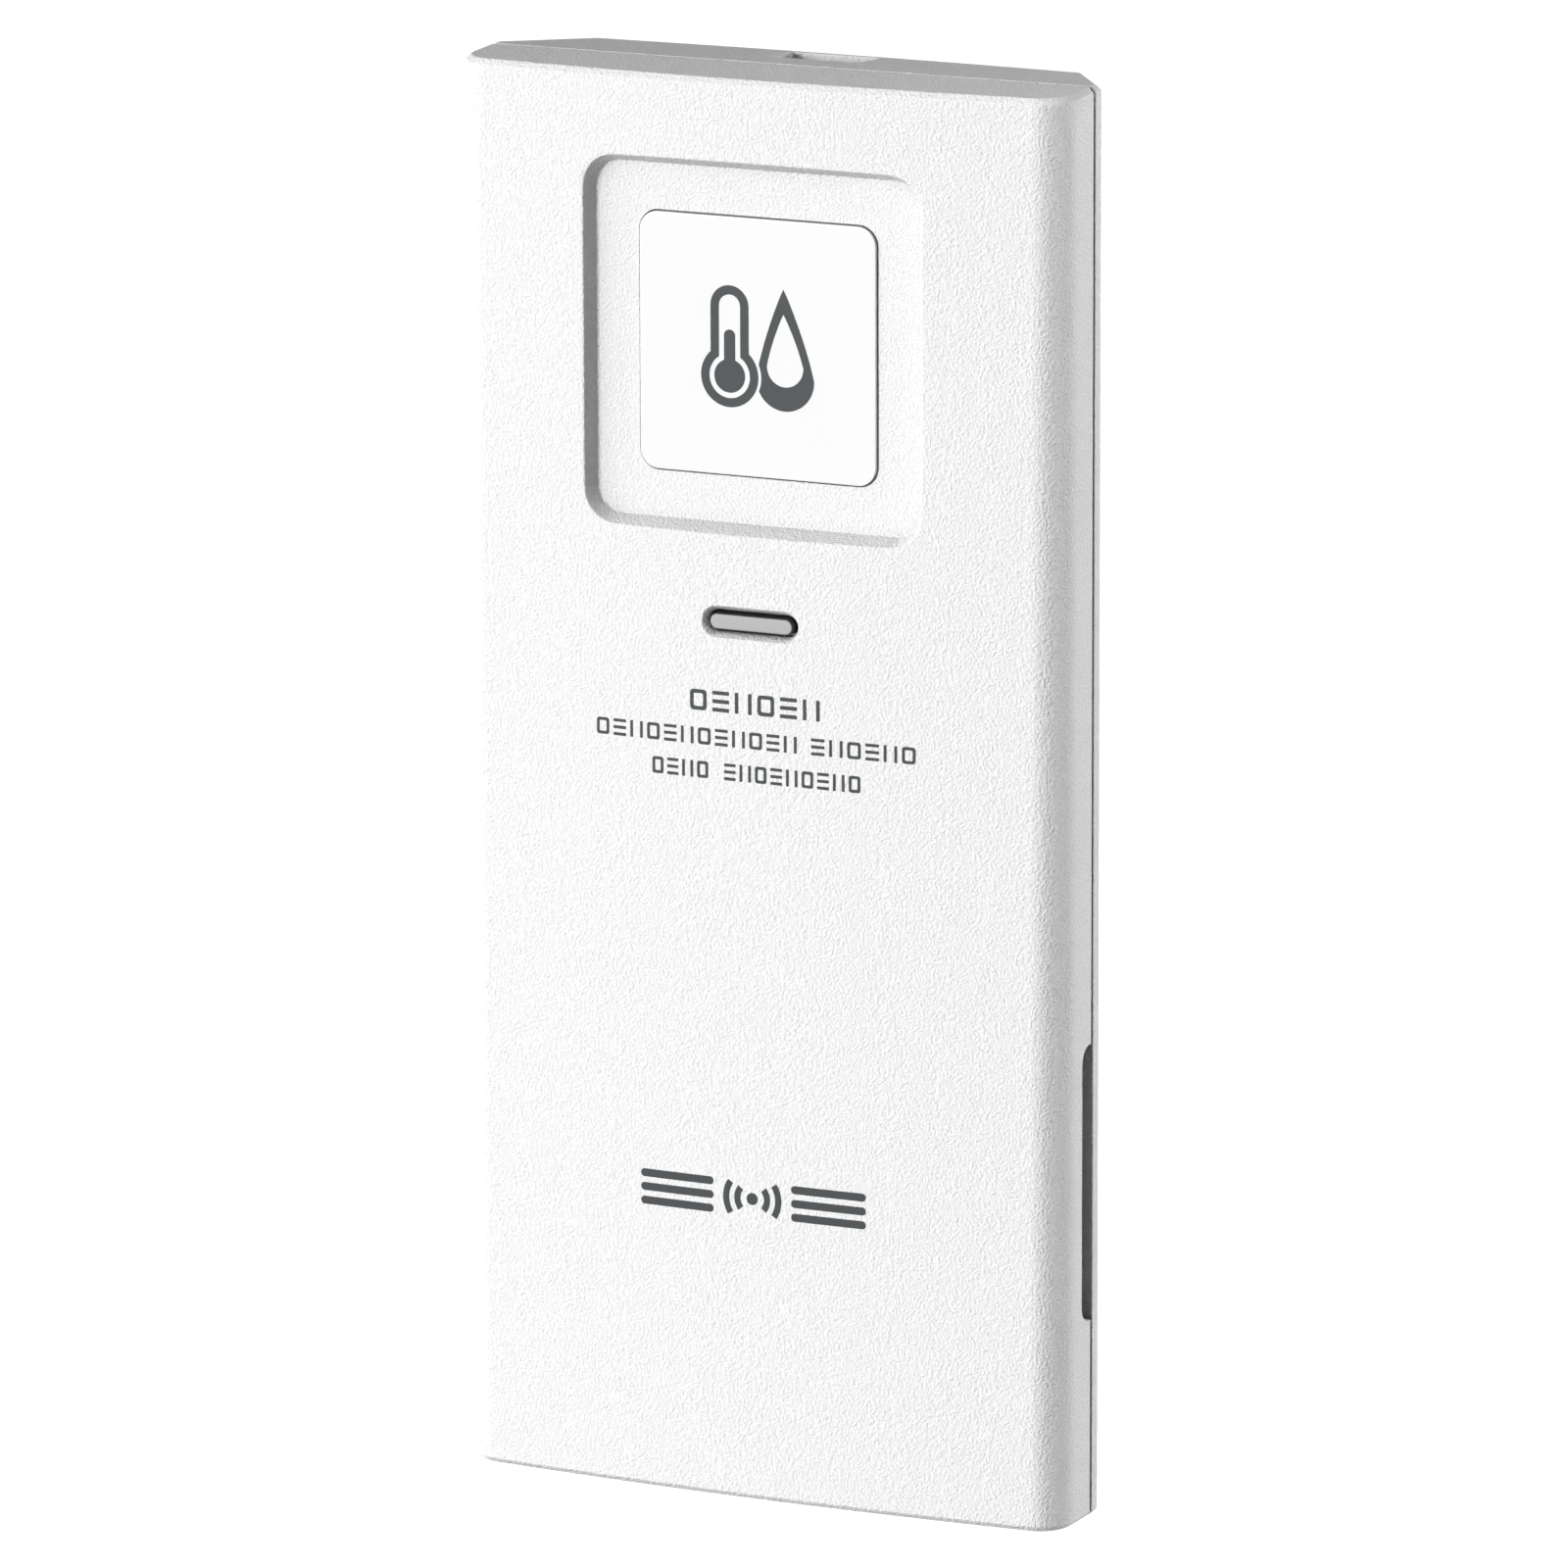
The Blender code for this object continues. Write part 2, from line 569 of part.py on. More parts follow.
def make_door(finish):
    """The bowed battery door, its two hook tabs and the countersunk hole of its screw."""
    bow_y = BACK_Y - BACK_RADIUS
    lean = math.degrees(math.asin(DOOR_HALF / BACK_RADIUS))
    outer = arc((0.0, bow_y), BACK_RADIUS, 90 - lean, 90 + lean, 10)
    inner = [(x, y - DOOR_THICK) for x, y in reversed(outer)]
    door = loft("battery_door", [*outer, *inner], "Z", *DOOR_Z)
    under = BACK_Y - DOOR_THICK
    for i, x in enumerate((-TAB_X, TAB_X)):
        tab = box(f"tab_{i}", (x - TAB_HALF, 6.3 * MM, 8.2 * MM), (x + TAB_HALF, 7.25 * MM, 12.4 * MM),
                  CUTTERS)
        web = box(f"web_{i}", (x - TAB_HALF, 7.0 * MM, 10.6 * MM), (x + TAB_HALF, under + 0.4 * MM,
                                                                    12.4 * MM), CUTTERS)
        join(door, tab, web)
    hole = cylinder_y("door_hole", 0.0, DOOR_SCREW_Z, SCREW_SHANK_RADIUS + GAP, under - MM,
                      BACK_Y + MM, CUTTERS, 16)
    sink = cylinder_y("door_sink", 0.0, DOOR_SCREW_Z, SCREW_HEAD[0] + GAP, BACK_Y - 0.75 * MM,
                      BACK_Y + MM, CUTTERS)
    grip = box("door_grip", (-5 * MM, BACK_Y - 0.6 * MM, DOOR_Z[1] - 0.8 * MM),
               (5 * MM, BACK_Y + MM, DOOR_Z[1] + MM), CUTTERS)
    cut(door, hole, sink, grip)
    move_origin(door, (0.0, HINGE_Y, DOOR_Z[0]))
    return paint(door, finish)


def make_screw(name, x, z, tip_y, seat_y, head, shank_radius, finish):
    """A pan-head screw along Y with a cross slot, its head towards the back."""
    screw = cylinder_y(name, x, z, shank_radius, tip_y, seat_y + head[1] / 2, sides=16)
    cap = cylinder_y(f"{name}_head", x, z, head[0], seat_y, seat_y + head[1], CUTTERS)
    join(screw, cap)
    for i, (long, wide) in enumerate(((0.62, 0.14), (0.14, 0.62))):
        arm = box(f"{name}_cross_{i}", (x - long * head[0], seat_y + head[1] / 2, z - wide * head[0]),
                  (x + long * head[0], seat_y + head[1] + MM, z + wide * head[0]), CUTTERS)
        cut(screw, arm)
    return paint(screw, finish)


def make_cell(name, x, base_z, up, finish):
    """One AA cell, with its nub up or down."""
    radius, nub = CELL_RADIUS, CELL_NUB
    soft = 0.5 * MM
    body = [(radius - soft, CELL_LENGTH), (radius, CELL_LENGTH - soft), (radius, soft),
            (radius - soft, 0.0), (0.0, 0.0)]
    top = [(0.0, CELL_LENGTH + nub[1]), (nub[0], CELL_LENGTH + nub[1]), (nub[0], CELL_LENGTH)]
    turn = (0.0, 0.0, 0.0) if up else (math.pi, 0.0, 0.0)
    cell = turned(name, [*top, *body], (x, CELL_Y, base_z), turn)
    return paint(cell, finish)


def make_contact(name, x_low, x_high, z_low, finish):
    plate = box(name, (x_low, BAY_FLOOR_Y + GAP, z_low), (x_high, 5.6 * MM, z_low + CONTACT_THICK))
    return paint(plate, finish)


def make_spring(name, x, z_low, z_high, wide_low, finish):
    """A conical contact spring that stands between a contact plate and a cell's base."""
    wire_radius, turns, per_turn = 0.35 * MM, 3.0, 14
    count = int(turns * per_turn)
    points = []
    for i in range(count + 1):
        share = i / count
        radius = (5.0 - 2.4 * (share if wide_low else 1 - share)) * MM
        angle = 2 * math.pi * turns * share
        z = z_low + wire_radius + (z_high - z_low - 2 * wire_radius) * share
        points.append((radius * math.cos(angle), radius * math.sin(angle), z))
    spring = wire(name, points, wire_radius)
    spring.location = (x, CELL_Y, 0.0)
    return paint(spring, finish)


def make_battery_set(finishes):
    """Two cells in series, one nub up and one nub down, with springs at their flat ends."""
    plate_low = BAY_Z[0] + GAP
    plate_high = BAY_Z[1] - GAP - CONTACT_THICK
    low = plate_low + CONTACT_THICK + GAP
    high = plate_high - GAP
    length = CELL_LENGTH + CELL_NUB[1]
    make_cell("battery_left", -CELL_X, high - length, True, finishes["cell"])
    make_cell("battery_right", CELL_X, low + length, False, finishes["cell"])
    steel = finishes["contact"]
    edge = BAY_HALF - 0.8 * MM
    make_contact("contact_bridge", -edge, edge, plate_low, steel)
    make_contact("contact_positive", -edge, -0.7 * MM, plate_high, steel)
    make_contact("contact_negative", 0.7 * MM, edge, plate_high, steel)
    make_spring("spring_left", -CELL_X, low, high - length - GAP, True, steel)
    make_spring("spring_right", CELL_X, low + length + GAP, high, False, steel)


def make_leads(finishes):
    """Two short leads from the end contacts through the bay wall to the board's front."""
    for name, x in (("lead_red", -CELL_X), ("lead_black", CELL_X)):
        y = BAY_FLOOR_Y + 0.9 * MM
        route = [(x, y, BAY_Z[1] + 0.1 * MM), (x, y, 72.4 * MM), (x, y + 0.1 * MM, 74.0 * MM),
                 (x, y + 0.3 * MM, 76.5 * MM)]
        paint(wire(name, smooth_path(route), 0.55 * MM), finishes[name])


def make_board(finishes):
    """The circuit board and what is soldered to it."""
    board = box("circuit_board", (-BOARD_HALF, BOARD_Y[0], BOARD_Z[0]),
                (BOARD_HALF, BOARD_Y[1], BOARD_Z[1]))
    holes = [
        cylinder_y(f"board_hole_{i}", x, BOARD_POST[1], 1.2 * MM, BOARD_Y[0] - MM, BOARD_Y[1] + MM,
                   CUTTERS, 16)
        for i, x in enumerate((-BOARD_POST[0], BOARD_POST[0]))
    ]
    cut(board, *holes)
    paint(board, finishes["board"])
    for name, x in (("board_screw_left", -BOARD_POST[0]), ("board_screw_right", BOARD_POST[0])):
        make_screw(name, x, BOARD_POST[1], -6.6 * MM, BOARD_BACK, (1.7 * MM, 1.1 * MM), 0.8 * MM,
                   finishes["screw"])
    blocks = {
        "microcontroller": ((0.0, 93.0), (7.0, 7.0), 1.0, "chip"),
        "crystal_can": ((10.0, 93.0), (4.0, 9.0), 2.6, "can"),
        "radio_board": ((-13.5, 102.0), (14.0, 16.0), 0.8, "board"),
        "channel_switch_body": ((SLIDER_X / MM, SWITCH_Z / MM), (9.0, 4.4), 3.0, "switch"),
        "reset_switch_body": ((RESET_X / MM, SWITCH_Z / MM), (6.0, 6.0), 3.2, "switch"),
    }
    for name, (spot, size, tall, finish) in blocks.items():
        low = ((spot[0] - size[0] / 2) * MM, BOARD_BACK, (spot[1] - size[1] / 2) * MM)
        high = ((spot[0] + size[0] / 2) * MM, BOARD_BACK + tall * MM, (spot[1] + size[1] / 2) * MM)
        paint(box(name, low, high), finishes[finish])
    can_low = BOARD_BACK + 0.8 * MM + GAP
    shield = box("radio_shield", (-18.5 * MM, can_low, 96.5 * MM), (-8.5 * MM, can_low + 1.8 * MM,
                                                                    107.5 * MM))
    paint(shield, finishes["can"])
    paint(cylinder_y("capacitor", 16.5 * MM, 104.0 * MM, 2.5 * MM, BOARD_BACK, BOARD_BACK + 5.4 * MM),
          finishes["capacitor"])
    led = turned("status_led", [(0.0, 1.6 * MM), (0.7 * MM, 1.45 * MM), (1.2 * MM, 1.05 * MM),
                                (1.5 * MM, 0.4 * MM), (1.5 * MM, 0.0), (0.0, 0.0)],
                 (0.0, BOARD_Y[0] - GAP, LIGHT_Z), (math.radians(90), 0.0, 0.0), 20)
    paint(led, finishes["led"])
    antenna = [(-21.2, -2.3, 104.0), (-22.8, -2.3, 98.0), (-23.2, -2.3, 88.0), (-23.2, -2.3, 70.0),
               (-23.2, -2.3, 45.0), (-23.2, -2.3, 24.0)]
    route = smooth_path([Vector(point) * MM for point in antenna], 4)
    paint(wire("antenna_wire", route, 0.4 * MM), finishes["antenna"])


def make_sensor(finishes):
    """The small sensor board beside the right vent, its chip and its ribbon cable."""
    paint(box("sensor_board", (18.0 * MM, -3.4 * MM, 22.0 * MM), (25.0 * MM, -2.6 * MM, 40.0 * MM)),
          finishes["board"])
    paint(box("hygro_thermo_chip", (20.4 * MM, -2.3 * MM, 29.4 * MM), (22.9 * MM, -1.4 * MM, 31.9 * MM)),
          finishes["chip"])
    paint(box("ribbon_cable", (18.6 * MM, -3.3 * MM, 40.3 * MM), (21.8 * MM, -2.9 * MM, 71.3 * MM)),
          finishes["ribbon"])


def make_slider(finish):
    """The channel slider, at the end of its slot for channel one."""
    x = SLIDER_X + SLIDER_TRAVEL / 2
    stem = box("channel_slider", (x - SLIDER_HALF, 0.7 * MM, SWITCH_Z - SLIDER_HALF),
               (x + SLIDER_HALF, 4.4 * MM, SWITCH_Z + SLIDER_HALF))
    foot = box("slider_foot", (x - 1.7 * MM, 0.6 * MM, SWITCH_Z - 1.8 * MM),
               (x + 1.7 * MM, 1.3 * MM, SWITCH_Z + 1.8 * MM), CUTTERS)
    join(stem, foot)
    for i in (-1, 0, 1):
        groove_x = x + 0.6 * i * MM
        groove = box(f"slider_groove_{i + 1}", (groove_x - 0.13 * MM, 4.15 * MM, SWITCH_Z - 2 * MM),
                     (groove_x + 0.13 * MM, 5 * MM, SWITCH_Z + 2 * MM), CUTTERS)
        cut(stem, groove)
    return paint(stem, finish)


def make_reset_button(finish):
    button = cylinder_y("reset_button", RESET_X, SWITCH_Z, RESET_RADIUS, 0.9 * MM, 3.5 * MM)
    flange = cylinder_y("reset_flange", RESET_X, SWITCH_Z, 2.3 * MM, 0.8 * MM, 1.3 * MM, CUTTERS)
    join(button, flange)
    return paint(button, finish)


def make_finishes():
    return {
        "shell": material("white_shell", (0.86, 0.86, 0.86), 0.42),
        "plate": material("white_gloss", (0.93, 0.93, 0.93), 0.12),
        "pipe": material("light_pipe_clear", (0.5, 0.5, 0.5), 0.15),
        "cell": material("cell_jacket", (0.09, 0.11, 0.13), 0.35, 0.4),
        "contact": material("nickel_strip", (0.66, 0.65, 0.62), 0.3, 1.0),
        "screw": material("zinc_screw", (0.5, 0.5, 0.5), 0.35, 1.0),
        "board": material("green_board", (0.02, 0.16, 0.07), 0.45),
        "chip": material("black_chip", (0.02, 0.02, 0.02), 0.5),
        "can": material("tin_can", (0.7, 0.7, 0.68), 0.3, 1.0),
        "switch": material("switch_housing", (0.05, 0.05, 0.05), 0.5),
        "capacitor": material("capacitor_sleeve", (0.03, 0.04, 0.1), 0.35),
        "led": material("led_lens", (0.75, 0.1, 0.06), 0.2),
        "antenna": material("antenna_jacket", (0.85, 0.85, 0.82), 0.5),
        "ribbon": material("ribbon_grey", (0.45, 0.45, 0.45), 0.55),
        "lead_red": material("red_lead", (0.6, 0.03, 0.02), 0.45),
        "lead_black": material("black_lead", (0.02, 0.02, 0.02), 0.45),
        "slider": material("slider_black", (0.03, 0.03, 0.03), 0.5),
        "button": material("button_grey", (0.25, 0.25, 0.25), 0.6),
    }


def main():
    clear_scene()
    finishes = make_finishes()
    make_front_shell(finishes["shell"])
    make_rear_shell(finishes["shell"])
    make_icon_plate(finishes["plate"])
    make_light_pipe(finishes["pipe"])
    make_door(finishes["shell"])
    make_screw("door_screw", 0.0, DOOR_SCREW_Z, 3.6 * MM, BACK_Y - 0.75 * MM + 0.05 * MM,
               (SCREW_HEAD[0], 0.6 * MM), SCREW_SHANK_RADIUS, finishes["screw"])
    for i, (x, z) in enumerate(case_screw_places()):
        make_screw(f"case_screw_{i + 1}", x, z, -5.2 * MM, SCREW_SEAT_Y + GAP, SCREW_HEAD,
                   SCREW_SHANK_RADIUS, finishes["screw"])
    make_battery_set(finishes)
    make_leads(finishes)
    make_board(finishes)
    make_sensor(finishes)
    make_slider(finishes["slider"])
    make_reset_button(finishes["button"])


main()
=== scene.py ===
"""Looks of the slim wireless hygro-thermo sensor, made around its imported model.

Metres, Z up, the front facing -Y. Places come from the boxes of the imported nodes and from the
dimensions below. One group of those follows the photo where the model is simpler.
"""

import math

import bmesh
import bpy
from mathutils import Matrix, Vector


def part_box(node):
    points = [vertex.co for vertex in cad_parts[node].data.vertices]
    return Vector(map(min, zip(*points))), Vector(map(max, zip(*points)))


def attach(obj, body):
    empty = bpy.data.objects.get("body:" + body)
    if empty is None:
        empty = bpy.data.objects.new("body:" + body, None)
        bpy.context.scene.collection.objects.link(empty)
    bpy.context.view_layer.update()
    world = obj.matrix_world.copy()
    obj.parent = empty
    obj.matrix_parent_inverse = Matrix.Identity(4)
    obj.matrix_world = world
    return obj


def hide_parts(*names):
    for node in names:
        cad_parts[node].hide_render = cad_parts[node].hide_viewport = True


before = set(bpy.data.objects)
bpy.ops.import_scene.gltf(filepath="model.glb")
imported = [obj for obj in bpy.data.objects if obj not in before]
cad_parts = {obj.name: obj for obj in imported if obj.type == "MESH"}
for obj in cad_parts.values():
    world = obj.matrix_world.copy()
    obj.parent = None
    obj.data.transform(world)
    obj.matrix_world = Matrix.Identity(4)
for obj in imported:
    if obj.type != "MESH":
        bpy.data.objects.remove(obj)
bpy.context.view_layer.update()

MM = 0.001
FRONT_LOW, FRONT_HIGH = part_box("front_shell")
REAR_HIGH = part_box("rear_shell")[1]
DOOR_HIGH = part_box("battery_door")[1]
PLATE_LOW, PLATE_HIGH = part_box("icon_plate")
PIPE_LOW, PIPE_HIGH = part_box("light_pipe")
BOARD_FRONT_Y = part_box("circuit_board")[0].y
HALF = FRONT_HIGH.x
HEIGHT = FRONT_HIGH.z
FRONT_Y = FRONT_LOW.y
BACK_Y = REAR_HIGH.y
FRONT_RIM_Y = FRONT_HIGH.y

# Tolerances of the mesh work
CLOSE = 1e-6
MERGE = 1e-7
OVERCUT = 3.0 * MM

# Case
GAP = 0.3 * MM
WALL = 1.6 * MM
REAR_RIM_Y = FRONT_RIM_Y + 1.1 * GAP
FRONT_RADIUS = 347.0 * MM
BACK_RADIUS = 288.0 * MM
EDGE_CHAMFER = 0.5 * MM
BACK_CHAMFER = 0.4 * MM
SOFT_EDGE = 0.1 * MM
SIDE_END_Y = -0.24 * MM
BACK_HALF = 23.7 * MM
LIP_DEPTH = 0.9 * MM
LIP_WIDTH = 1.0 * MM
LIP_ROOT_Y = 2.0 * MM
SLICE_SPACING = 4.0 * MM
FRONT_SLICE_MARGIN = 0.9 * MM
REAR_SLICE_MARGIN = 1.3 * MM

# Where this follows the photo more closely than the model does
FILLET_RADII = (2.9 * MM, 3.7 * MM)
FILLET_JOIN = 51.0
TOP_DRAFT = 0.3 * MM
TOP_FALL = 0.62 * MM
PLATE_MARGIN = 0.14 * MM
COUNTERSINK_WIDTH = 0.46 * MM
VENT_Z = (18.05 * MM, 42.9 * MM)
VENT_RADIUS = 1.5 * MM

# Front face
RECESS_Z = 103.4 * MM
RECESS_FLOOR_HALF = 15.65 * MM
RECESS_DEPTH = 1.85 * MM
RECESS_DRAFT = 0.436
RECESS_RADIUS = 2.4 * MM
RECESS_SOFT = (0.16 * MM, 0.2 * MM)
RECESS_START = (-0.4 * MM, 0.8 * MM)
PAN_WALL = 1.5 * MM
PLATE_HALF = (PLATE_HIGH.x - PLATE_LOW.x) / 2
PLATE_RADIUS = 1.75 * MM
PLATE_SOFT = 0.12 * MM
ICON_CENTRE = (-0.07 * MM, RECESS_Z - 0.03 * MM)
LIGHT_Z = (PIPE_LOW.z + PIPE_HIGH.z) / 2
SLOT_HALF = (4.25 * MM, 0.95 * MM)
SLOT_FLOOR_Y = FRONT_Y + 3.5 * MM
COUNTERSINK_DEPTH = 0.75 * MM
PIPE_MARGIN = 0.2 * MM
PIPE_NOSE = 0.24 * MM
INK_THICK = 0.06 * MM
INK_PROUD = 0.02 * MM

# Side vents and top hanger
VENT_FRONT_Y = -3.58 * MM
HANGER_HALF = 4.3 * MM
HANGER_Y = (3.1 * MM, 8.1 * MM)
HANGER_FLOOR_Z = 106.5 * MM
KEYHOLE_Z = 112.0 * MM
KEYHOLE_RADIUS = 4.0 * MM
KEYHOLE_NECK = 2.3 * MM
KEYHOLE_TOP_Z = 119.0 * MM

# Case screws and the posts of the circuit board
BOSS_Z = (5.9 * MM, 120.3 * MM)
SCREW_PLACES = [(x, z) for z in BOSS_Z for x in (-19.8 * MM, 19.8 * MM)]
REAR_BOSS_RADIUS = 3.3 * MM
FRONT_BOSS_RADIUS = 2.5 * MM
PILOT_RADIUS = 1.25 * MM
PILOT_END_Y = -6.5 * MM
SCREW_SEAT_Y = 3.0 * MM
SCREW_HEAD_RADIUS = 2.2 * MM
SCREW_SHANK_RADIUS = 1.0 * MM
THREAD_PITCH = 0.7 * MM
POST_PLACES = [(-18.8 * MM, 82.0 * MM), (18.8 * MM, 82.0 * MM)]
POST_RADIUS = 2.0 * MM
POST_PILOT_RADIUS = 1.0 * MM
POST_PILOT_END_Y = -7.0 * MM
AHEAD_Y = -12.0 * MM

# Battery bay and switch shelf
BAY_HALF = 15.0 * MM
BAY_WALL = 1.2 * MM
BAY_FLOOR_Y = -6.5 * MM
BAY_FLOOR = 0.8 * MM
BAY_Z = (13.2 * MM, 70.0 * MM)
TUB_ROOT_Y = 1.0 * MM
SHELF_Y = 2.6 * MM
SHELF_THICK = 1.0 * MM
SHELF_TOP_Z = 81.0 * MM
LEDGE_Y = 7.3 * MM
LEDGE_THICK = 1.2 * MM
LEDGE_WIDTH = 1.7 * MM
SWITCH_Z = 75.6 * MM
SLIDER_X = 8.0 * MM
SLIDER_TRAVEL = 4.0 * MM
SLIDER_HALF = 1.1 * MM
RESET_X = -8.0 * MM
RESET_RADIUS = 1.5 * MM

# Door, its tabs and its screw
DOOR_THICK = 1.3 * MM
DOOR_RADIUS = 0.9 * MM
DOOR_BOTTOM_Z = 10.0 * MM
DOOR_MIDDLE = (0.0, (DOOR_BOTTOM_Z + DOOR_HIGH.z) / 2)
DOOR_HALF_Z = (DOOR_HIGH.z - DOOR_BOTTOM_Z) / 2
DOOR_SCREW_Z = 78.0 * MM
DOOR_PILOT_RADIUS = 1.35 * MM
DOOR_PILOT_END_Y = SHELF_Y + 0.6 * MM
DOOR_WELL_DEPTH = 0.75 * MM
PILLAR_RADIUS = 2.4 * MM
PILLAR_BLOCK_RADIUS = 2.6 * MM
TAB_X = 9.0 * MM
TAB_HALF = 3.0 * MM
TAB_Y = (6.3 * MM, 7.25 * MM)
TAB_Z = (8.2 * MM, 12.4 * MM)
WEB_LOW = (7.0 * MM, 10.6 * MM)
HOOK_POCKET_Y = (5.2 * MM, 7.55 * MM)
HOOK_POCKET_BOTTOM_Z = 7.4 * MM
# In millimetres above the door's lower edge
RIDGE_FIRST_Z = 50.0
RIDGE_PITCH = 2.2

# Camera: degrees for the angles, millimetres for the lens
CAMERA_TARGET = (2.42 * MM, -7.83 * MM, 64.88 * MM)
CAMERA_AZIMUTH = 25.82
CAMERA_ELEVATION = 12.44
CAMERA_ROLL = -0.16
CAMERA_DISTANCE = 1036.4 * MM
CAMERA_LENS = 272.1

# Studio: azimuth and elevation in degrees, distance and side in metres, watts
LAMPS = {
    "key": (-25, 8, 8.0, 2.5, 748.0),
    "left": (-60, 10, 8.0, 5.0, 216.0),
    "top": (-10, 50, 8.0, 5.0, 46.0),
    "fill_low": (0, -40, 6.0, 4.5, 48.0),
    "rim": (125, 4, 3.0, 1.0, 25.0),
    "near_high": (100, 45, 0.45, 0.15, 0.81),
    "near_low": (130, -30, 0.6, 0.2, 2.0),
    "back": (238, -14, 3.0, 1.0, 60.0),
}
AMBIENT = 0.01
FLOOR_RADIUS = 8.0
FLOOR_GLOW = 0.86

# White shell: tone of the specks, reach of the painted shade in grooves and corners, and grey against
# openness
SPECK = 0.055
PAINTED_SHADE_REACH = 4.0 * MM
PAINTED_SHADE_GREYS = [(0.0, 0.12), (0.35, 0.38), (0.7, 0.89), (0.93, 1.0)]


# ---------------------------------------------------------------- shapes

def add_object(name, data):
    obj = bpy.data.objects.new(name, data)
    bpy.context.scene.collection.objects.link(obj)
    return obj


def from_bmesh(name, shape):
    bmesh.ops.recalc_face_normals(shape, faces=shape.faces)
    mesh = bpy.data.meshes.new(name)
    shape.to_mesh(mesh)
    shape.free()
    return add_object(name, mesh)


def box(name, low, high):
    low, high = Vector(low), Vector(high)
    size = Matrix.Diagonal((*(high - low), 1.0))
    shape = bmesh.new()
    bmesh.ops.create_cube(shape, size=1.0, matrix=Matrix.Translation((low + high) / 2) @ size)
    return from_bmesh(name, shape)


def arc(centre, radius, start, end, steps):
    """Points on a circle from one angle to another, given in degrees."""
    angles = [math.radians(start + (end - start) * i / steps) for i in range(steps + 1)]
    return [(centre[0] + radius * math.cos(a), centre[1] + radius * math.sin(a)) for a in angles]


def without_repeats(points):
    kept = []
    for point in points:
        if all(math.dist(point, other) > CLOSE for other in kept):
            kept.append(point)
    return kept


def rounded_rect(half_u, half_v, radius, centre=(0.0, 0.0), steps=10, straight=1):
    """A rectangle with round corners, as a function of how far it is grown outwards.

    Its straight sides are split into shorter runs, so that it can follow a bowed surface.
    """
    def outline(grow=0.0):
        points = []
        for turn, (u, v) in enumerate(((1, 1), (-1, 1), (-1, -1), (1, -1))):
            corner = (centre[0] + u * (half_u - radius), centre[1] + v * (half_v - radius))
            points += arc(corner, radius + grow, 90 * turn, 90 * turn + 90, steps)
            after = ((-u, v), (u, -v))[turn % 2]
            following = (centre[0] + after[0] * (half_u - radius), centre[1] + after[1] * (half_v - radius))
            shift = (following[0] - corner[0], following[1] - corner[1])
            end = points[-1]
            points += [(end[0] + shift[0] * i / straight, end[1] + shift[1] * i / straight)
                       for i in range(1, straight)]
        return points
    return outline


def circle(x, z, radius, steps=40):
    def outline(grow=0.0):
        return arc((x, z), radius + grow, 0, 360, steps)[:-1]
    return outline


PLACES = {
    "X": lambda u, v, along: (along, u, v),
    "Y": lambda u, v, along: (u, along, v),
    "Z": lambda u, v, along: (u, v, along),
}


def skin(name, rings):
    """A closed solid through rings of equal length, with flat ends."""
    shape = bmesh.new()
    loops = [[shape.verts.new(point) for point in ring] for ring in rings]
    shape.faces.new(loops[0])
    shape.faces.new(loops[-1])
    for low, high in zip(loops, loops[1:]):
        for i in range(len(low)):
            j = (i + 1) % len(low)
            shape.faces.new((low[i], low[j], high[j], high[i]))
    bmesh.ops.remove_doubles(shape, verts=shape.verts, dist=MERGE)
    return from_bmesh(name, shape)


def prism(name, points, axis, low, high):
    place = PLACES[axis]
    return skin(name, [[place(u, v, along) for u, v in points] for along in (low, high)])


def sunk(name, outline, axis, into, surface, profile, floor):
    """A cutter that follows a curved surface down to a flat floor.

    Each ring of the profile is a depth below the surface and a growth of the outline.
    """
    place = PLACES[axis]
    rings = [
        [place(u, v, surface(u, v) + into * depth) for u, v in outline(grow)]
        for depth, grow in profile
    ]
    far = min(into * surface(u, v) for u, v in outline()) - OVERCUT
    lid = [place(u, v, into * far) for u, v in outline(profile[0][1])]
    base = [place(u, v, floor) for u, v in outline(profile[-1][1])]
    return skin(name, [lid, *rings, base])


def mouth(soft):
    """The profile of a rounded mouth, from just outside the surface to the straight wall below it."""
    points = [(-0.26 * soft, 1.64 * soft)]
    for i in range(5):
        angle = math.radians(72 * (1 - i / 4))
        points.append((soft * (1 - math.sin(angle)), soft * (1 - math.cos(angle))))
    return points


def rounded_slab(name, outline, front_y, rear_y, soft):
    """A flat slab with a rounded front rim."""
    rings = [[(u, rear_y, v) for u, v in outline()]]
    for i in range(5):
        angle = math.radians(90 * i / 4)
        y = front_y + soft * (1 - math.sin(angle))
        rings.append([(u, y, v) for u, v in outline(-soft * (1 - math.cos(angle)))])
    return skin(name, rings)


def evaluated_mesh(obj):
    """A new mesh of an object as its modifiers or its curve settings leave it."""
    bpy.context.view_layer.update()
    evaluated = obj.evaluated_get(bpy.context.evaluated_depsgraph_get())
    return bpy.data.meshes.new_from_object(evaluated)


def carve(target, cutters, operation="DIFFERENCE"):
    """Cuts away, joins or intersects, and removes the other shapes."""
    for cutter in cutters:
        step = target.modifiers.new(cutter.name, "BOOLEAN")
        step.operation = operation
        step.solver = "EXACT"
        step.object = cutter
    mesh = evaluated_mesh(target)
    target.modifiers.clear()
    target.data = mesh
    for cutter in cutters:
        bpy.data.objects.remove(cutter)


def reshape(obj, change):
    """Edits an object's mesh with a function of its bmesh."""
    shape = bmesh.new()
    shape.from_mesh(obj.data)
    change(shape)
    shape.to_mesh(obj.data)
    shape.free()


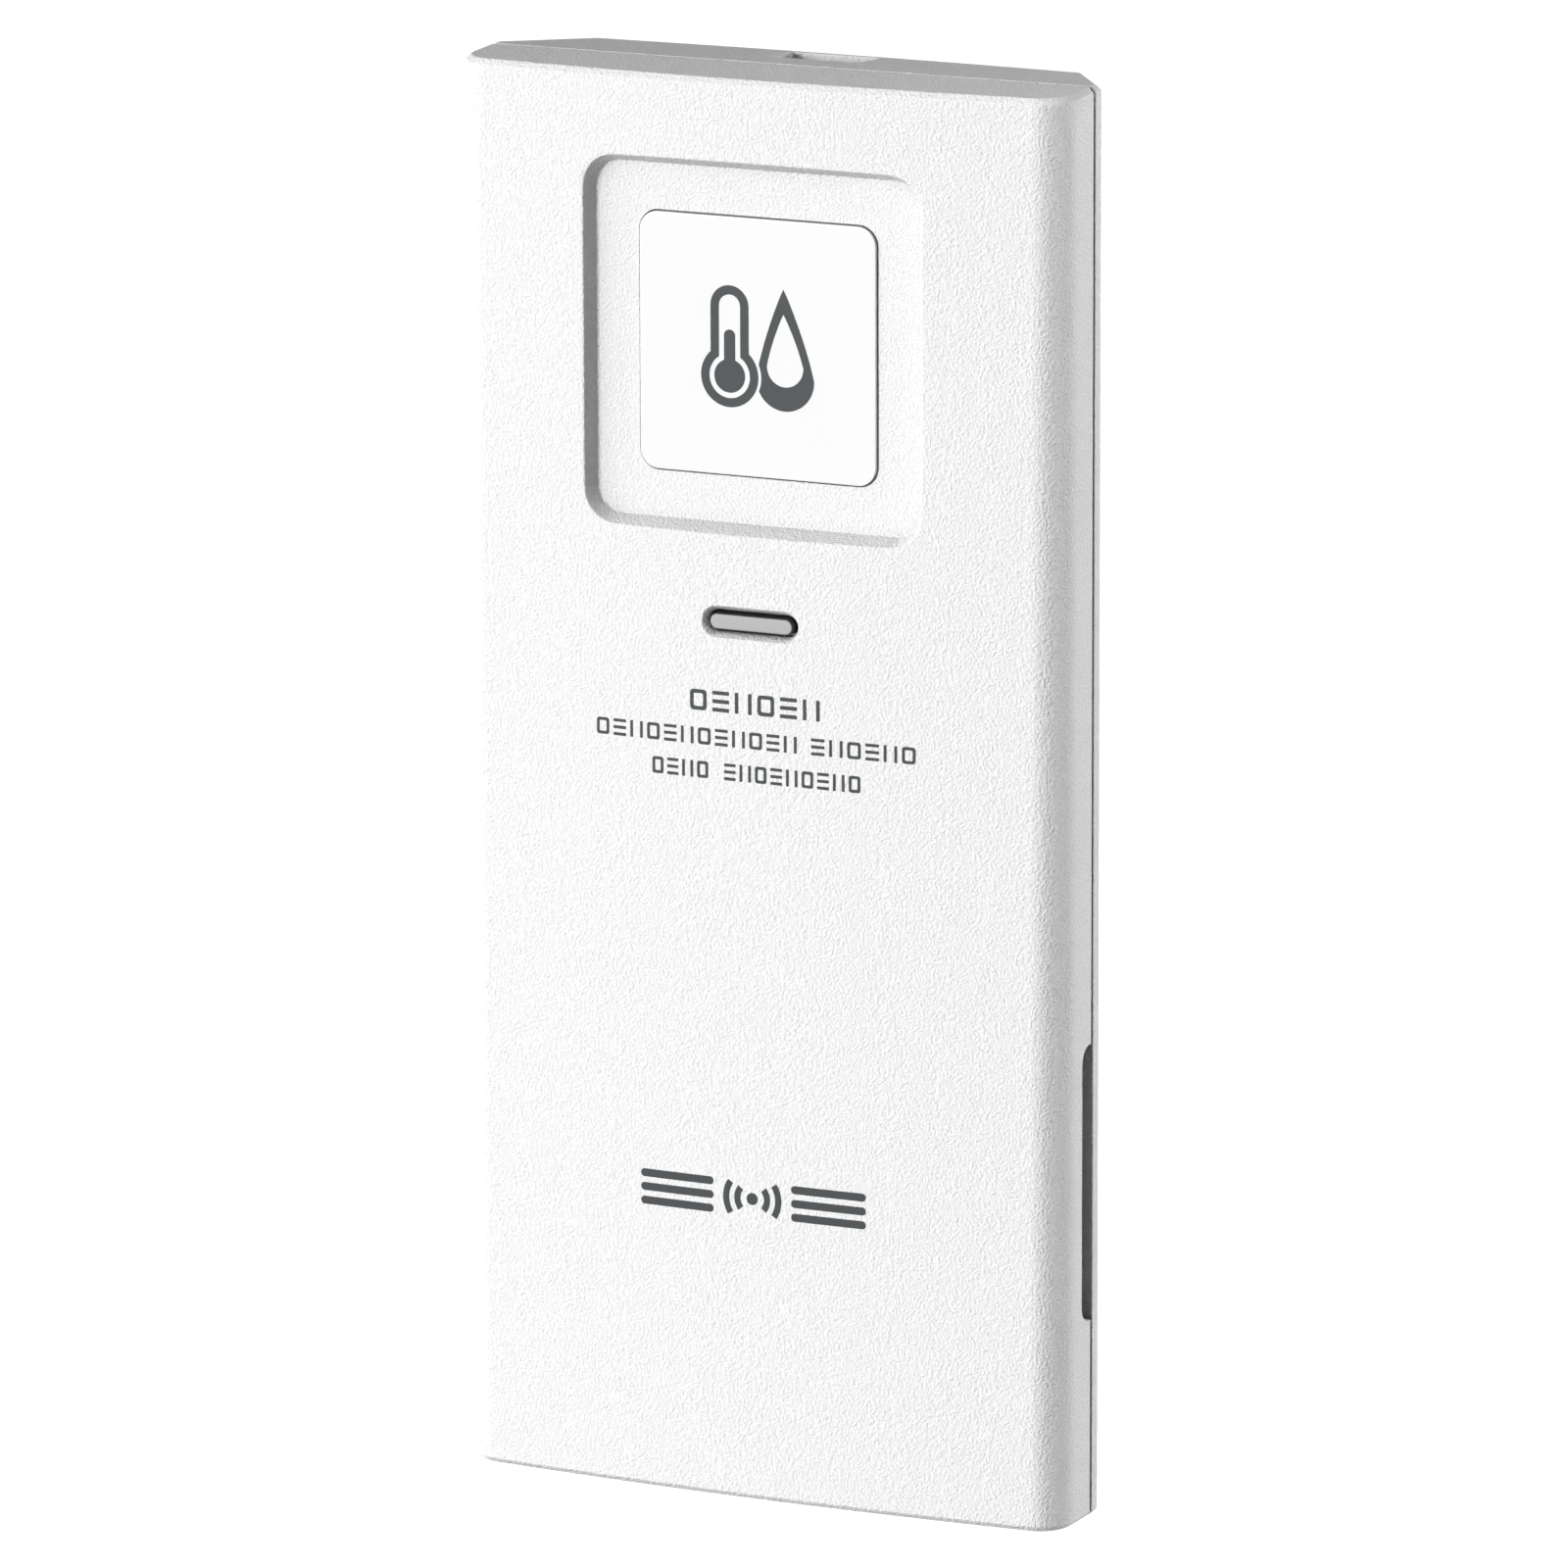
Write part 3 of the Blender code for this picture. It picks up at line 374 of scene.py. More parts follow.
def bevel_edges(obj, chosen, width, segments):
    """Bevels the edges that the test picks."""
    def change(shape):
        edges = [edge for edge in shape.edges if chosen(edge)]
        bmesh.ops.bevel(shape, geom=edges, offset=width, segments=segments, profile=0.5,
                        affect="EDGES", clamp_overlap=True)
    reshape(obj, change)


def soften(obj, width, sharper_than=25.0, segments=3):
    """Rounds every edge that is sharper than an angle."""
    limit = math.radians(sharper_than)
    bevel_edges(obj, lambda edge: edge.is_manifold and edge.calc_face_angle() > limit, width, segments)


def slice_across(obj, margin):
    """Adds evenly spaced level loops between two margins, so that shading stays local."""
    count = round((HEIGHT - 2 * margin) / SLICE_SPACING)
    levels = [margin + (HEIGHT - 2 * margin) * i / count for i in range(count + 1)]

    def change(shape):
        for z in levels:
            whole = [*shape.verts, *shape.edges, *shape.faces]
            bmesh.ops.bisect_plane(shape, geom=whole, plane_co=(0, 0, z), plane_no=(0, 0, 1))
    reshape(obj, change)


def shade(obj, angle=32.0):
    """Smooth shading with sharp edges by angle, led by the large faces."""
    obj.data.shade_smooth()
    obj.data.set_sharp_from_angle(angle=math.radians(angle))
    weighted = obj.modifiers.new("normals", "WEIGHTED_NORMAL")
    weighted.keep_sharp = True
    return obj


def turned(name, profile, origin, axis="Z", flip=False, sides=48):
    """A solid turned about an axis, from (radius, height) points that start and end on it."""
    shape = bmesh.new()
    verts = [shape.verts.new((radius, 0.0, height)) for radius, height in profile]
    edges = [shape.edges.new(pair) for pair in zip(verts, verts[1:])]
    bmesh.ops.spin(
        shape, geom=verts + edges, cent=(0, 0, 0), axis=(0, 0, 1), angle=2 * math.pi,
        steps=sides, use_merge=True,
    )
    bmesh.ops.remove_doubles(shape, verts=shape.verts, dist=MERGE)
    turn = {"Z": Matrix.Identity(4), "Y": Matrix.Rotation(math.radians(-90), 4, "X")}[axis]
    if flip:
        turn = turn @ Matrix.Rotation(math.pi, 4, "X")
    bmesh.ops.transform(shape, matrix=Matrix.Translation(origin) @ turn, verts=shape.verts)
    return from_bmesh(name, shape)


def wire(name, points, radius, resolution=4):
    """A round wire through a list of points, as a mesh."""
    curve = bpy.data.curves.new(name, "CURVE")
    curve.dimensions = "3D"
    curve.bevel_depth = radius
    curve.bevel_resolution = resolution
    curve.use_fill_caps = True
    spline = curve.splines.new("POLY")
    spline.points.add(len(points) - 1)
    for spot, point in zip(spline.points, points):
        spot.co = (*point, 1.0)
    source = add_object(name, curve)
    mesh = evaluated_mesh(source)
    bpy.data.objects.remove(source)
    shape = bmesh.new()
    shape.from_mesh(mesh)
    bmesh.ops.remove_doubles(shape, verts=shape.verts, dist=MERGE)
    return from_bmesh(name, shape)


def join_meshes(name, objects):
    """One object that holds several closed shapes."""
    shape = bmesh.new()
    for obj in objects:
        shape.from_mesh(obj.data)
        bpy.data.objects.remove(obj)
    mesh = bpy.data.meshes.new(name)
    shape.to_mesh(mesh)
    shape.free()
    return add_object(name, mesh)


def dress(obj, finish, body, replaces=()):
    obj.data.materials.clear()
    obj.data.materials.append(finish)
    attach(obj, body)
    if replaces:
        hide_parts(*replaces)


# ---------------------------------------------------------------- surfaces of the case

def face_y(x, _z=0.0):
    """The bowed front face."""
    return FRONT_Y + FRONT_RADIUS - math.sqrt(FRONT_RADIUS**2 - x**2)


def back_y(x, _z=0.0):
    """The bowed back wall."""
    return BACK_Y - BACK_RADIUS + math.sqrt(BACK_RADIUS**2 - x**2)


def rear_top_z(_x, y):
    """The top wall of the rear shell, which falls towards the back."""
    return HEIGHT - TOP_FALL * max(0.0, (y - SIDE_END_Y) / (BACK_Y - SIDE_END_Y))


def front_plan(inset, rear_y, fillet_steps=12, face_steps=48):
    """The front shell seen from above: a bowed face, two fillets and straight sides.

    Each fillet is two arcs that meet smoothly, tight beside the face and wider beside the side.
    """
    bow = (0.0, FRONT_Y + FRONT_RADIUS)
    tight, wide = FILLET_RADII
    join = math.radians(FILLET_JOIN)
    near_x = HALF - wide + (wide - tight) * math.sin(join)
    reach = FRONT_RADIUS - tight
    near = (near_x, bow[1] - math.sqrt(reach**2 - near_x**2))
    far = (HALF - wide, near[1] + (wide - tight) * math.cos(join))
    lean = math.degrees(math.asin(near_x / reach))
    right = [*arc(far, wide - inset, 0, FILLET_JOIN - 90, fillet_steps),
             *arc(near, tight - inset, FILLET_JOIN - 90, lean - 90, fillet_steps)]
    face = arc(bow, FRONT_RADIUS - inset, -90 + lean, -90 - lean, face_steps)
    half = [(HALF - inset, rear_y), *right]
    left = [(-x, y) for x, y in reversed(half)]
    return without_repeats([*half, *face, *left])


def rear_plan(inset, side_half, front_y, steps=40):
    """The rear shell seen from above: short straight sides, chamfers and a bowed back."""
    bow_y = BACK_Y - BACK_RADIUS
    slope = Vector((BACK_HALF - HALF, back_y(BACK_HALF) - SIDE_END_Y)).normalized()
    start = Vector((HALF, SIDE_END_Y)) + inset * Vector((-slope.y, slope.x))
    side_y = start.y + (side_half - start.x) * slope.y / slope.x
    from_bow = start - Vector((0.0, bow_y))
    half_b = from_bow.dot(slope)
    radius = BACK_RADIUS - inset
    run = -half_b + math.sqrt(half_b**2 - from_bow.length_squared + radius**2)
    corner = start + run * slope
    lean = math.degrees(math.asin(corner.x / radius))
    back = arc((0.0, bow_y), radius, 90 - lean, 90 + lean, steps)
    half = [(side_half, front_y), (side_half, side_y)]
    left = [(-x, y) for x, y in reversed(half)]
    return without_repeats([*half, *back, *left])


def bar_y(name, x, z, radius, low, high, sides=40):
    return prism(name, circle(x, z, radius, sides)(), "Y", low, high)


def bars_y(name, places, radius, low, high, sides=40):
    """One bar at each place, as name_0, name_1 and so on."""
    return [bar_y(f"{name}_{i}", x, z, radius, low, high, sides) for i, (x, z) in enumerate(places)]


# ---------------------------------------------------------------- front shell

def make_front_shell(finish):
    shell = prism("front_casing", front_plan(0.0, FRONT_RIM_Y), "Z", 0.0, HEIGHT)

    def at_end(edge):
        a, b = (vert.co for vert in edge.verts)
        return abs(a.z - b.z) < CLOSE and min(a.y, b.y) < FRONT_RIM_Y - CLOSE

    bevel_edges(shell, at_end, EDGE_CHAMFER, 1)
    soften(shell, SOFT_EDGE)
    for vert in shell.data.vertices:
        if vert.co.z > HEIGHT / 2:
            vert.co.z -= TOP_DRAFT * (FRONT_RIM_Y - vert.co.y) / (FRONT_RIM_Y - FRONT_Y)
    slice_across(shell, FRONT_SLICE_MARGIN)
    cavity = prism("front_cavity", front_plan(WALL, FRONT_RIM_Y + OVERCUT, 8, 16), "Z",
                   WALL, HEIGHT - WALL)
    pan_half = RECESS_FLOOR_HALF + PAN_WALL
    pan = prism("pan", rounded_rect(pan_half, pan_half, RECESS_RADIUS, (0.0, RECESS_Z), 6)(), "Y",
                AHEAD_Y, FRONT_Y + RECESS_DEPTH + PAN_WALL)
    bosses = bars_y("boss", SCREW_PLACES, FRONT_BOSS_RADIUS, AHEAD_Y, FRONT_RIM_Y - GAP)
    posts = bars_y("post", POST_PLACES, POST_RADIUS, AHEAD_Y, BOARD_FRONT_Y - GAP)
    carve(cavity, [pan, *bosses, *posts])
    pilots = bars_y("pilot", SCREW_PLACES, PILOT_RADIUS, PILOT_END_Y, 0.0, 20)
    post_pilots = bars_y("post_pilot", POST_PLACES, POST_PILOT_RADIUS, POST_PILOT_END_Y, 0.0, 20)
    carve(shell, [cavity, recess_cutter(), plate_seat_cutter(), light_slot_cutter(),
                  *[vent_cutter(side) for side in (-1, 1)], *pilots, *post_pilots])
    dress(shade(shell), finish, "case", ["front_shell"])


def recess_cutter():
    """The drafted square recess: a rounded mouth that follows the bow, and a flat floor."""
    floor_y = FRONT_Y + RECESS_DEPTH
    soft, inner = RECESS_SOFT
    lean = math.atan(RECESS_DRAFT)
    outline = rounded_rect(RECESS_FLOOR_HALF, RECESS_FLOOR_HALF, RECESS_RADIUS, (0.0, RECESS_Z), 14, 24)
    seat = outline(RECESS_DRAFT * RECESS_DEPTH)

    def wall_ring(depth, grow):
        """Points at a depth below the bowed face, out by grow from the drafted wall."""
        points = []
        for i, (seat_u, _v) in enumerate(seat):
            y = face_y(seat_u) + depth
            u, v = outline(RECESS_DRAFT * (floor_y - y) + grow)[i]
            points.append((u, y, v))
        return points

    def turns(steps):
        return [lean + (math.radians(88) - lean) * i / steps for i in range(steps + 1)]

    start = wall_ring(*RECESS_START)
    rings = [[(u, FRONT_Y - OVERCUT, v) for u, _y, v in start], start]
    for angle in reversed(turns(5)):
        depth = soft * (1 - math.sin(angle))
        rings.append(wall_ring(depth, soft / math.cos(lean) - soft * math.cos(angle)
                               - RECESS_DRAFT * (soft - depth)))
    for angle in turns(4):
        y = floor_y - inner * (1 - math.sin(angle))
        grow = inner * (RECESS_DRAFT - 1 / math.cos(lean) + math.cos(angle))
        rings.append([(u, y, v) for u, v in outline(grow)])
    return skin("recess_cut", rings)


def plate_seat_cutter():
    half = PLATE_HALF + PLATE_MARGIN
    outline = rounded_rect(half, half, PLATE_RADIUS + PLATE_MARGIN, (0.0, RECESS_Z))
    return prism("plate_seat", outline(), "Y", FRONT_Y - OVERCUT, PLATE_HIGH.y + GAP)


def light_slot_cutter():
    """The status light's slot and its countersink."""
    half_u, half_v = SLOT_HALF
    outline = rounded_rect(half_u, half_v, half_v * 0.999, (0.0, LIGHT_Z), 14, 8)
    slope = COUNTERSINK_WIDTH / COUNTERSINK_DEPTH
    soft = 0.06 * MM
    profile = [(-0.2 * MM, COUNTERSINK_WIDTH + 4 * soft), (0.15 * soft, COUNTERSINK_WIDTH + 0.3 * soft),
               (soft, COUNTERSINK_WIDTH - soft * slope), (COUNTERSINK_DEPTH - soft, soft * slope),
               (COUNTERSINK_DEPTH, 0.2 * soft), (COUNTERSINK_DEPTH + soft, 0.0)]
    return sunk("light_slot", outline, "Y", 1, face_y, profile, SLOT_FLOOR_Y)


def vent_outline(grow=0.0):
    """A long notch in the rear edge of a side wall, round at its two inner corners, in (y, z)."""
    low, high = VENT_Z[0] - grow, VENT_Z[1] + grow
    radius = VENT_RADIUS + grow
    front = VENT_FRONT_Y - grow + radius
    rear = FRONT_RIM_Y + OVERCUT
    lower = arc((front, low + radius), radius, 270, 180, 10)
    upper = arc((front, high - radius), radius, 180, 90, 10)
    return [(rear, low), *lower, *upper, (rear, high)]


def vent_cutter(side):
    name = "vent_right" if side > 0 else "vent_left"
    return sunk(name, vent_outline, "X", -side, lambda _u, _v: side * HALF, mouth(0.14 * MM),
                side * (HALF - 2 * WALL))


# ---------------------------------------------------------------- rear shell and door

def make_rear_shell(finish):
    shell = prism("rear_casing", rear_plan(0.0, HALF, REAR_RIM_Y), "Z", 0.0, HEIGHT)

    def at_end(edge):
        a, b = (vert.co for vert in edge.verts)
        return abs(a.z - b.z) < CLOSE and max(a.y, b.y) > REAR_RIM_Y + CLOSE

    def at_back_corner(edge):
        a, b = (vert.co for vert in edge.verts)
        at_corner = min(a.y, b.y) > SIDE_END_Y + MM and abs(abs(a.x) - BACK_HALF) < 0.1 * MM
        return at_corner and abs(a.x - b.x) < CLOSE

    bevel_edges(shell, at_end, EDGE_CHAMFER, 1)
    bevel_edges(shell, at_back_corner, BACK_CHAMFER, 1)
    soften(shell, SOFT_EDGE)
    for vert in shell.data.vertices:
        if vert.co.z > HEIGHT / 2:
            vert.co.z += rear_top_z(vert.co.x, vert.co.y) - HEIGHT
    slice_across(shell, REAR_SLICE_MARGIN)
    lip_half = HALF - WALL - GAP
    lip_z = WALL + GAP
    lip = box("lip", (-lip_half, REAR_RIM_Y - LIP_DEPTH, lip_z),
              (lip_half, LIP_ROOT_Y, HEIGHT - lip_z))
    soften(lip, 0.15 * MM, segments=1)
    tub_half = BAY_HALF + BAY_WALL
    tub = box("tub", (-tub_half, BAY_FLOOR_Y - BAY_FLOOR, BAY_Z[0] - BAY_WALL),
              (tub_half, TUB_ROOT_Y, BAY_Z[1] + BAY_WALL))
    soften(tub, 0.3 * MM, segments=2)
    carve(shell, [lip, tub], "UNION")
    inner_half = lip_half - LIP_WIDTH
    inner_z = lip_z + LIP_WIDTH
    cavity = prism("rear_cavity", rear_plan(WALL, inner_half, REAR_RIM_Y - OVERCUT, 16), "Z",
                   inner_z, HEIGHT - inner_z)
    carve(cavity, rear_kept_blocks())
    carve(shell, [cavity, *compartment_cutters(), *hanger_cutters(), *case_screw_cutters(),
                  *switch_cutters(), *[lip_vent_cutter(side) for side in (-1, 1)]])
    dress(shade(shell), finish, "case", ["rear_shell"])


def rear_kept_blocks():
    """Solid stretches left standing in the rear shell's hollow."""
    outer = BAY_HALF + BAY_WALL
    bay = box("bay_block", (-outer, BAY_FLOOR_Y - BAY_FLOOR, BAY_Z[0] - BAY_WALL),
              (outer, BACK_Y, BAY_Z[1] + BAY_WALL))
    shelf = box("shelf_block", (-outer, SHELF_Y - SHELF_THICK, BAY_Z[1]),
                (outer, BACK_Y, SHELF_TOP_Z + BAY_WALL))
    ledge_half = outer + LEDGE_WIDTH
    ledge = box("ledge_block", (-ledge_half, LEDGE_Y - LEDGE_THICK, DOOR_BOTTOM_Z - GAP - BAY_WALL),
                (ledge_half, BACK_Y, DOOR_HIGH.z + GAP + BAY_WALL))
    hanger = box("hanger_block", (-HANGER_HALF - BAY_WALL, HANGER_Y[0] - BAY_WALL,
                                  HANGER_FLOOR_Z - BAY_WALL),
                 (HANGER_HALF + BAY_WALL, BACK_Y, HEIGHT))
    bosses = bars_y("rear_boss", SCREW_PLACES, REAR_BOSS_RADIUS, FRONT_RIM_Y, BACK_Y)
    pillar = bar_y("pillar", 0.0, DOOR_SCREW_Z, PILLAR_BLOCK_RADIUS, SHELF_Y - SHELF_THICK / 2, BACK_Y)
    return [bay, shelf, ledge, hanger, *bosses, pillar]


def compartment_cutters():
    """The battery bay, the step down to the switch shelf, the door's seat and the hook pockets."""
    behind = BACK_Y + OVERCUT
    bay = box("bay_cut", (-BAY_HALF, BAY_FLOOR_Y, BAY_Z[0]), (BAY_HALF, behind, BAY_Z[1]))
    soften(bay, 0.5 * MM)
    shelf = box("shelf_cut", (-BAY_HALF, SHELF_Y, BAY_Z[1] - MM), (BAY_HALF, behind, SHELF_TOP_Z))
    soften(shelf, 0.4 * MM)
    carve(shelf, [bar_y("pillar_keep", 0.0, DOOR_SCREW_Z, PILLAR_RADIUS, 0.0, LEDGE_Y - GAP)])
    pilot = bar_y("door_pilot", 0.0, DOOR_SCREW_Z, DOOR_PILOT_RADIUS, DOOR_PILOT_END_Y, behind, 20)
    seat_outline = rounded_rect(DOOR_HIGH.x + GAP, DOOR_HALF_Z + GAP, DOOR_RADIUS + GAP, DOOR_MIDDLE, 8, 24)
    seat = sunk("door_seat", seat_outline, "Y", -1, back_y, mouth(0.15 * MM), LEDGE_Y)
    hooks = [
        box(f"hook_pocket_{i}", (x - TAB_HALF - 1.3 * GAP, HOOK_POCKET_Y[0], HOOK_POCKET_BOTTOM_Z),
            (x + TAB_HALF + 1.3 * GAP, HOOK_POCKET_Y[1], BAY_Z[0] + MM))
        for i, x in enumerate((-TAB_X, TAB_X))
    ]
    return [bay, shelf, pilot, seat, *hooks]


def hanger_cutters():
    """The pocket open at the top wall, and the keyhole through the back wall."""
    middle = (0.0, (HANGER_Y[0] + HANGER_Y[1]) / 2)
    outline = rounded_rect(HANGER_HALF, (HANGER_Y[1] - HANGER_Y[0]) / 2, 0.25 * MM, middle, 4)
    pocket = sunk("hanger_pocket", outline, "Z", -1, rear_top_z, mouth(0.1 * MM), HANGER_FLOOR_Z)

    def keyhole(grow=0.0):
        radius, neck = KEYHOLE_RADIUS + grow, KEYHOLE_NECK + grow
        spread = math.degrees(math.asin(neck / radius))
        return [*arc((0.0, KEYHOLE_Z), radius, 90 + spread, 450 - spread, 40),
                *arc((0.0, KEYHOLE_TOP_Z), neck, 0, 180, 20)]

    hole = sunk("keyhole", keyhole, "Y", -1, back_y, mouth(0.3 * MM), HANGER_Y[1] - MM)
    return [pocket, hole]


def case_screw_cutters():
    wells = [
        sunk(f"screw_well_{i}", circle(x, z, SCREW_HEAD_RADIUS + GAP), "Y", -1, back_y, mouth(0.25 * MM),
             SCREW_SEAT_Y)
        for i, (x, z) in enumerate(SCREW_PLACES)
    ]
    holes = bars_y("screw_hole", SCREW_PLACES, SCREW_SHANK_RADIUS + GAP, FRONT_RIM_Y - MM,
                   SCREW_SEAT_Y + MM, 20)
    return [cutter for pair in zip(wells, holes) for cutter in pair]


def switch_cutters():
    """The slider's slot and the reset button's hole, through the shelf."""
    low = SHELF_Y - SHELF_THICK - MM
    reach = SLIDER_HALF + GAP
    slot_outline = rounded_rect(SLIDER_TRAVEL / 2 + reach, reach, 0.3 * MM, (SLIDER_X, SWITCH_Z), 5)
    outlines = {"slider_slot": slot_outline, "reset_hole": circle(RESET_X, SWITCH_Z, RESET_RADIUS + GAP)}
    return [
        sunk(name, outline, "Y", -1, lambda _u, _v: SHELF_Y, mouth(0.12 * MM), low)
        for name, outline in outlines.items()
    ]


def lip_vent_cutter(side):
    """Opens the inner lip behind a vent notch."""
    ends = sorted((side * (HALF - WALL), side * (HALF - 3 * WALL)))
    name = "lip_vent_right" if side > 0 else "lip_vent_left"
    return box(name, (ends[0], REAR_RIM_Y - OVERCUT, VENT_Z[0] - MM),
               (ends[1], REAR_RIM_Y, VENT_Z[1] + MM))


def make_door(finish):
    """The bowed battery door with round corners, two hook tabs, a screw hole and grip ridges."""
    lean = math.degrees(math.asin(DOOR_HIGH.x / BACK_RADIUS))
    outer = arc((0.0, BACK_Y - BACK_RADIUS), BACK_RADIUS, 90 - lean, 90 + lean, 28)
    inner = [(x, y - DOOR_THICK) for x, y in reversed(outer)]
    door = prism("door_panel", [*outer, *inner], "Z", DOOR_BOTTOM_Z, DOOR_HIGH.z)
    trim = rounded_rect(DOOR_HIGH.x - CLOSE, DOOR_HALF_Z - CLOSE, DOOR_RADIUS, DOOR_MIDDLE)
    corners = prism("door_corners", trim(), "Y", 0.0, BACK_Y + OVERCUT)
    carve(door, [corners], "INTERSECT")
    soften(door, 0.16 * MM, 40.0, 2)
    under = BACK_Y - DOOR_THICK
    tabs = []
    for i, x in enumerate((-TAB_X, TAB_X)):
        tab = box(f"tab_{i}", (x - TAB_HALF, TAB_Y[0], TAB_Z[0]), (x + TAB_HALF, TAB_Y[1], TAB_Z[1]))
        web = box(f"web_{i}", (x - TAB_HALF, *WEB_LOW), (x + TAB_HALF, under + 0.4 * MM, TAB_Z[1]))
        carve(tab, [web], "UNION")
        soften(tab, 0.15 * MM, 40.0, 2)
        tabs.append(tab)
    ridges = [grip_ridge(i) for i in range(5)]
    carve(door, [*tabs, *ridges], "UNION")
    hole = bar_y("door_hole", 0.0, DOOR_SCREW_Z, SCREW_SHANK_RADIUS + GAP, under - MM, BACK_Y + MM, 24)
    well = sunk("door_well", circle(0.0, DOOR_SCREW_Z, SCREW_HEAD_RADIUS + GAP), "Y", -1, back_y,
                mouth(0.12 * MM), BACK_Y - DOOR_WELL_DEPTH)
    carve(door, [hole, well])
    dress(shade(door), finish, "door", ["battery_door"])


def grip_ridge(i):
    """One low raised bar for the fingertip, across the door."""
    z = DOOR_BOTTOM_Z + (RIDGE_FIRST_Z + RIDGE_PITCH * i) * MM
    half, rise, radius = 6.0 * MM, 0.25 * MM, 0.45 * MM
    outline = rounded_rect(half, radius, radius * 0.999, (0.0, z), 6)
    rings = [[(u, back_y(u) - 0.4 * MM, v) for u, v in outline()]]
    for share in (0.0, 0.5, 0.8, 1.0):
        grow = -radius * 0.8 * (1 - math.sqrt(1 - share**2)) if share < 1 else -radius * 0.8
        rings.append([(u, back_y(u) + rise * share, v) for u, v in outline(grow)])
    return skin(f"ridge_{i}", rings)


# ---------------------------------------------------------------- materials

class Nodes:
    """A short way to write a material. An input takes a plain value or the output of a node."""

    def __init__(self, name):
        self.material = bpy.data.materials.new(name)
        self.material.use_nodes = True
        self.tree = self.material.node_tree
        self.coords = self.tree.nodes.new("ShaderNodeTexCoord").outputs

    def feed(self, node, inputs):
        for key, value in inputs.items():
            if isinstance(value, bpy.types.NodeSocket):
                self.tree.links.new(value, node.inputs[key])
            else:
                node.inputs[key].default_value = value

    def add(self, kind, inputs, **settings):
        node = self.tree.nodes.new(f"ShaderNode{kind}")
        for key, value in settings.items():
            setattr(node, key, value)
        self.feed(node, inputs)
        return node

    def noise(self, size, detail=2.0, stretch=(1.0, 1.0, 1.0)):
        """Noise whose cells are about this size, in metres."""
        mapping = self.add("Mapping", {"Scale": stretch, "Vector": self.coords["Object"]})
        vector = mapping.outputs["Vector"]
        return self.add("TexNoise", {"Scale": 1.0 / size, "Detail": detail, "Vector": vector}).outputs["Fac"]

    def ramp(self, factor, stops, interpolation="LINEAR"):
        ramp = self.add("ValToRGB", {"Fac": factor})
        ramp.color_ramp.interpolation = interpolation
        elements = ramp.color_ramp.elements
        while len(elements) < len(stops):
            elements.new(0.5)
        for element, (place, colour) in zip(elements, stops):
            element.position = place
            element.color = (*colour, 1.0)
        return ramp.outputs["Color"]

    def spread(self, factor, low, high, low_in=0.3, high_in=0.7):
        """A value that runs between two limits with a factor."""
        limits = {"From Min": low_in, "From Max": high_in, "To Min": low, "To Max": high}
        return self.add("MapRange", {**limits, "Value": factor}).outputs["Result"]

    def mix(self, first, second, factor, blend="MIX"):
        inputs = {"Factor": factor, "A": first, "B": second}
        return self.add("Mix", inputs, data_type="RGBA", blend_type=blend).outputs["Result"]

    def part_of(self, vector, axis):
        """One coordinate of a vector."""
        return self.add("SeparateXYZ", {"Vector": vector}).outputs[axis]

    def surface(self, inputs, height=None, depth=0.0):
        """Feeds the shader, with a bump where a height is given, and hands over the material."""
        shader = self.tree.nodes["Principled BSDF"]
        if height is not None:
            bump = self.add("Bump", {"Distance": depth, "Height": height})
            inputs = {**inputs, "Normal": bump.outputs["Normal"]}
        self.feed(shader, inputs)
        return self.material


def tint(colour, share):
    return tuple(min(1.0, part * share) for part in colour)


def plastic(name, colour, roughness, grain=0.25 * MM, depth=0.004 * MM, vary=0.02, patch=9 * MM,
            specular=0.5):
    """Moulded plastic: a fine spark-eroded grain, and slow changes of tone and gloss."""
    made = Nodes(name)
    patches = made.noise(patch, 3.0)
    return made.surface({
        "Base Color": made.ramp(patches, [(0.3, tint(colour, 1 - vary)), (0.7, tint(colour, 1 + vary))]),
        "Roughness": made.spread(patches, roughness - 0.03, roughness + 0.03),
        "Specular IOR Level": specular,
    }, made.noise(grain, 3.0), depth)


def shell_finish(name, colour, roughness, grain, depth, specular):
    """Spark-eroded white plastic: a speckled grain, and painted shade that darkens the colour in grooves and
    corners by ambient occlusion.
    """
    made = Nodes(name)
    patches = made.noise(9 * MM, 3.0)
    specks = made.noise(grain, 3.0)
    tone = made.ramp(specks, [(0.3, tint(colour, 1 - SPECK)), (0.7, tint(colour, 1 + SPECK))])
    # Painted shade: ambient occlusion darkens the base colour in grooves, corners and hollows
    openness = made.add("AmbientOcclusion", {"Distance": PAINTED_SHADE_REACH}, samples=8).outputs["AO"]
    painted_shade = made.ramp(openness, [(place, (grey,) * 3) for place, grey in PAINTED_SHADE_GREYS])
    return made.surface({
        "Base Color": made.mix(tone, painted_shade, 1.0, "MULTIPLY"),
        "Roughness": made.spread(patches, roughness - 0.03, roughness + 0.03),
        "Specular IOR Level": specular,
    }, specks, depth)


def metal(name, colour, roughness, stretch=(1.0, 1.0, 8.0), grain=0.4 * MM):
    """Plated metal with faint drawn lines and dull spots."""
    made = Nodes(name)
    lines = made.noise(grain, 3.0, stretch)
    spots = made.noise(3 * MM)
    return made.surface({
        "Base Color": made.ramp(spots, [(0.35, tint(colour, 0.88)), (0.65, colour)]),
        "Roughness": made.spread(lines, roughness * 0.75, roughness * 1.3),
        "Metallic": 1.0,
    }, lines, 0.003 * MM)


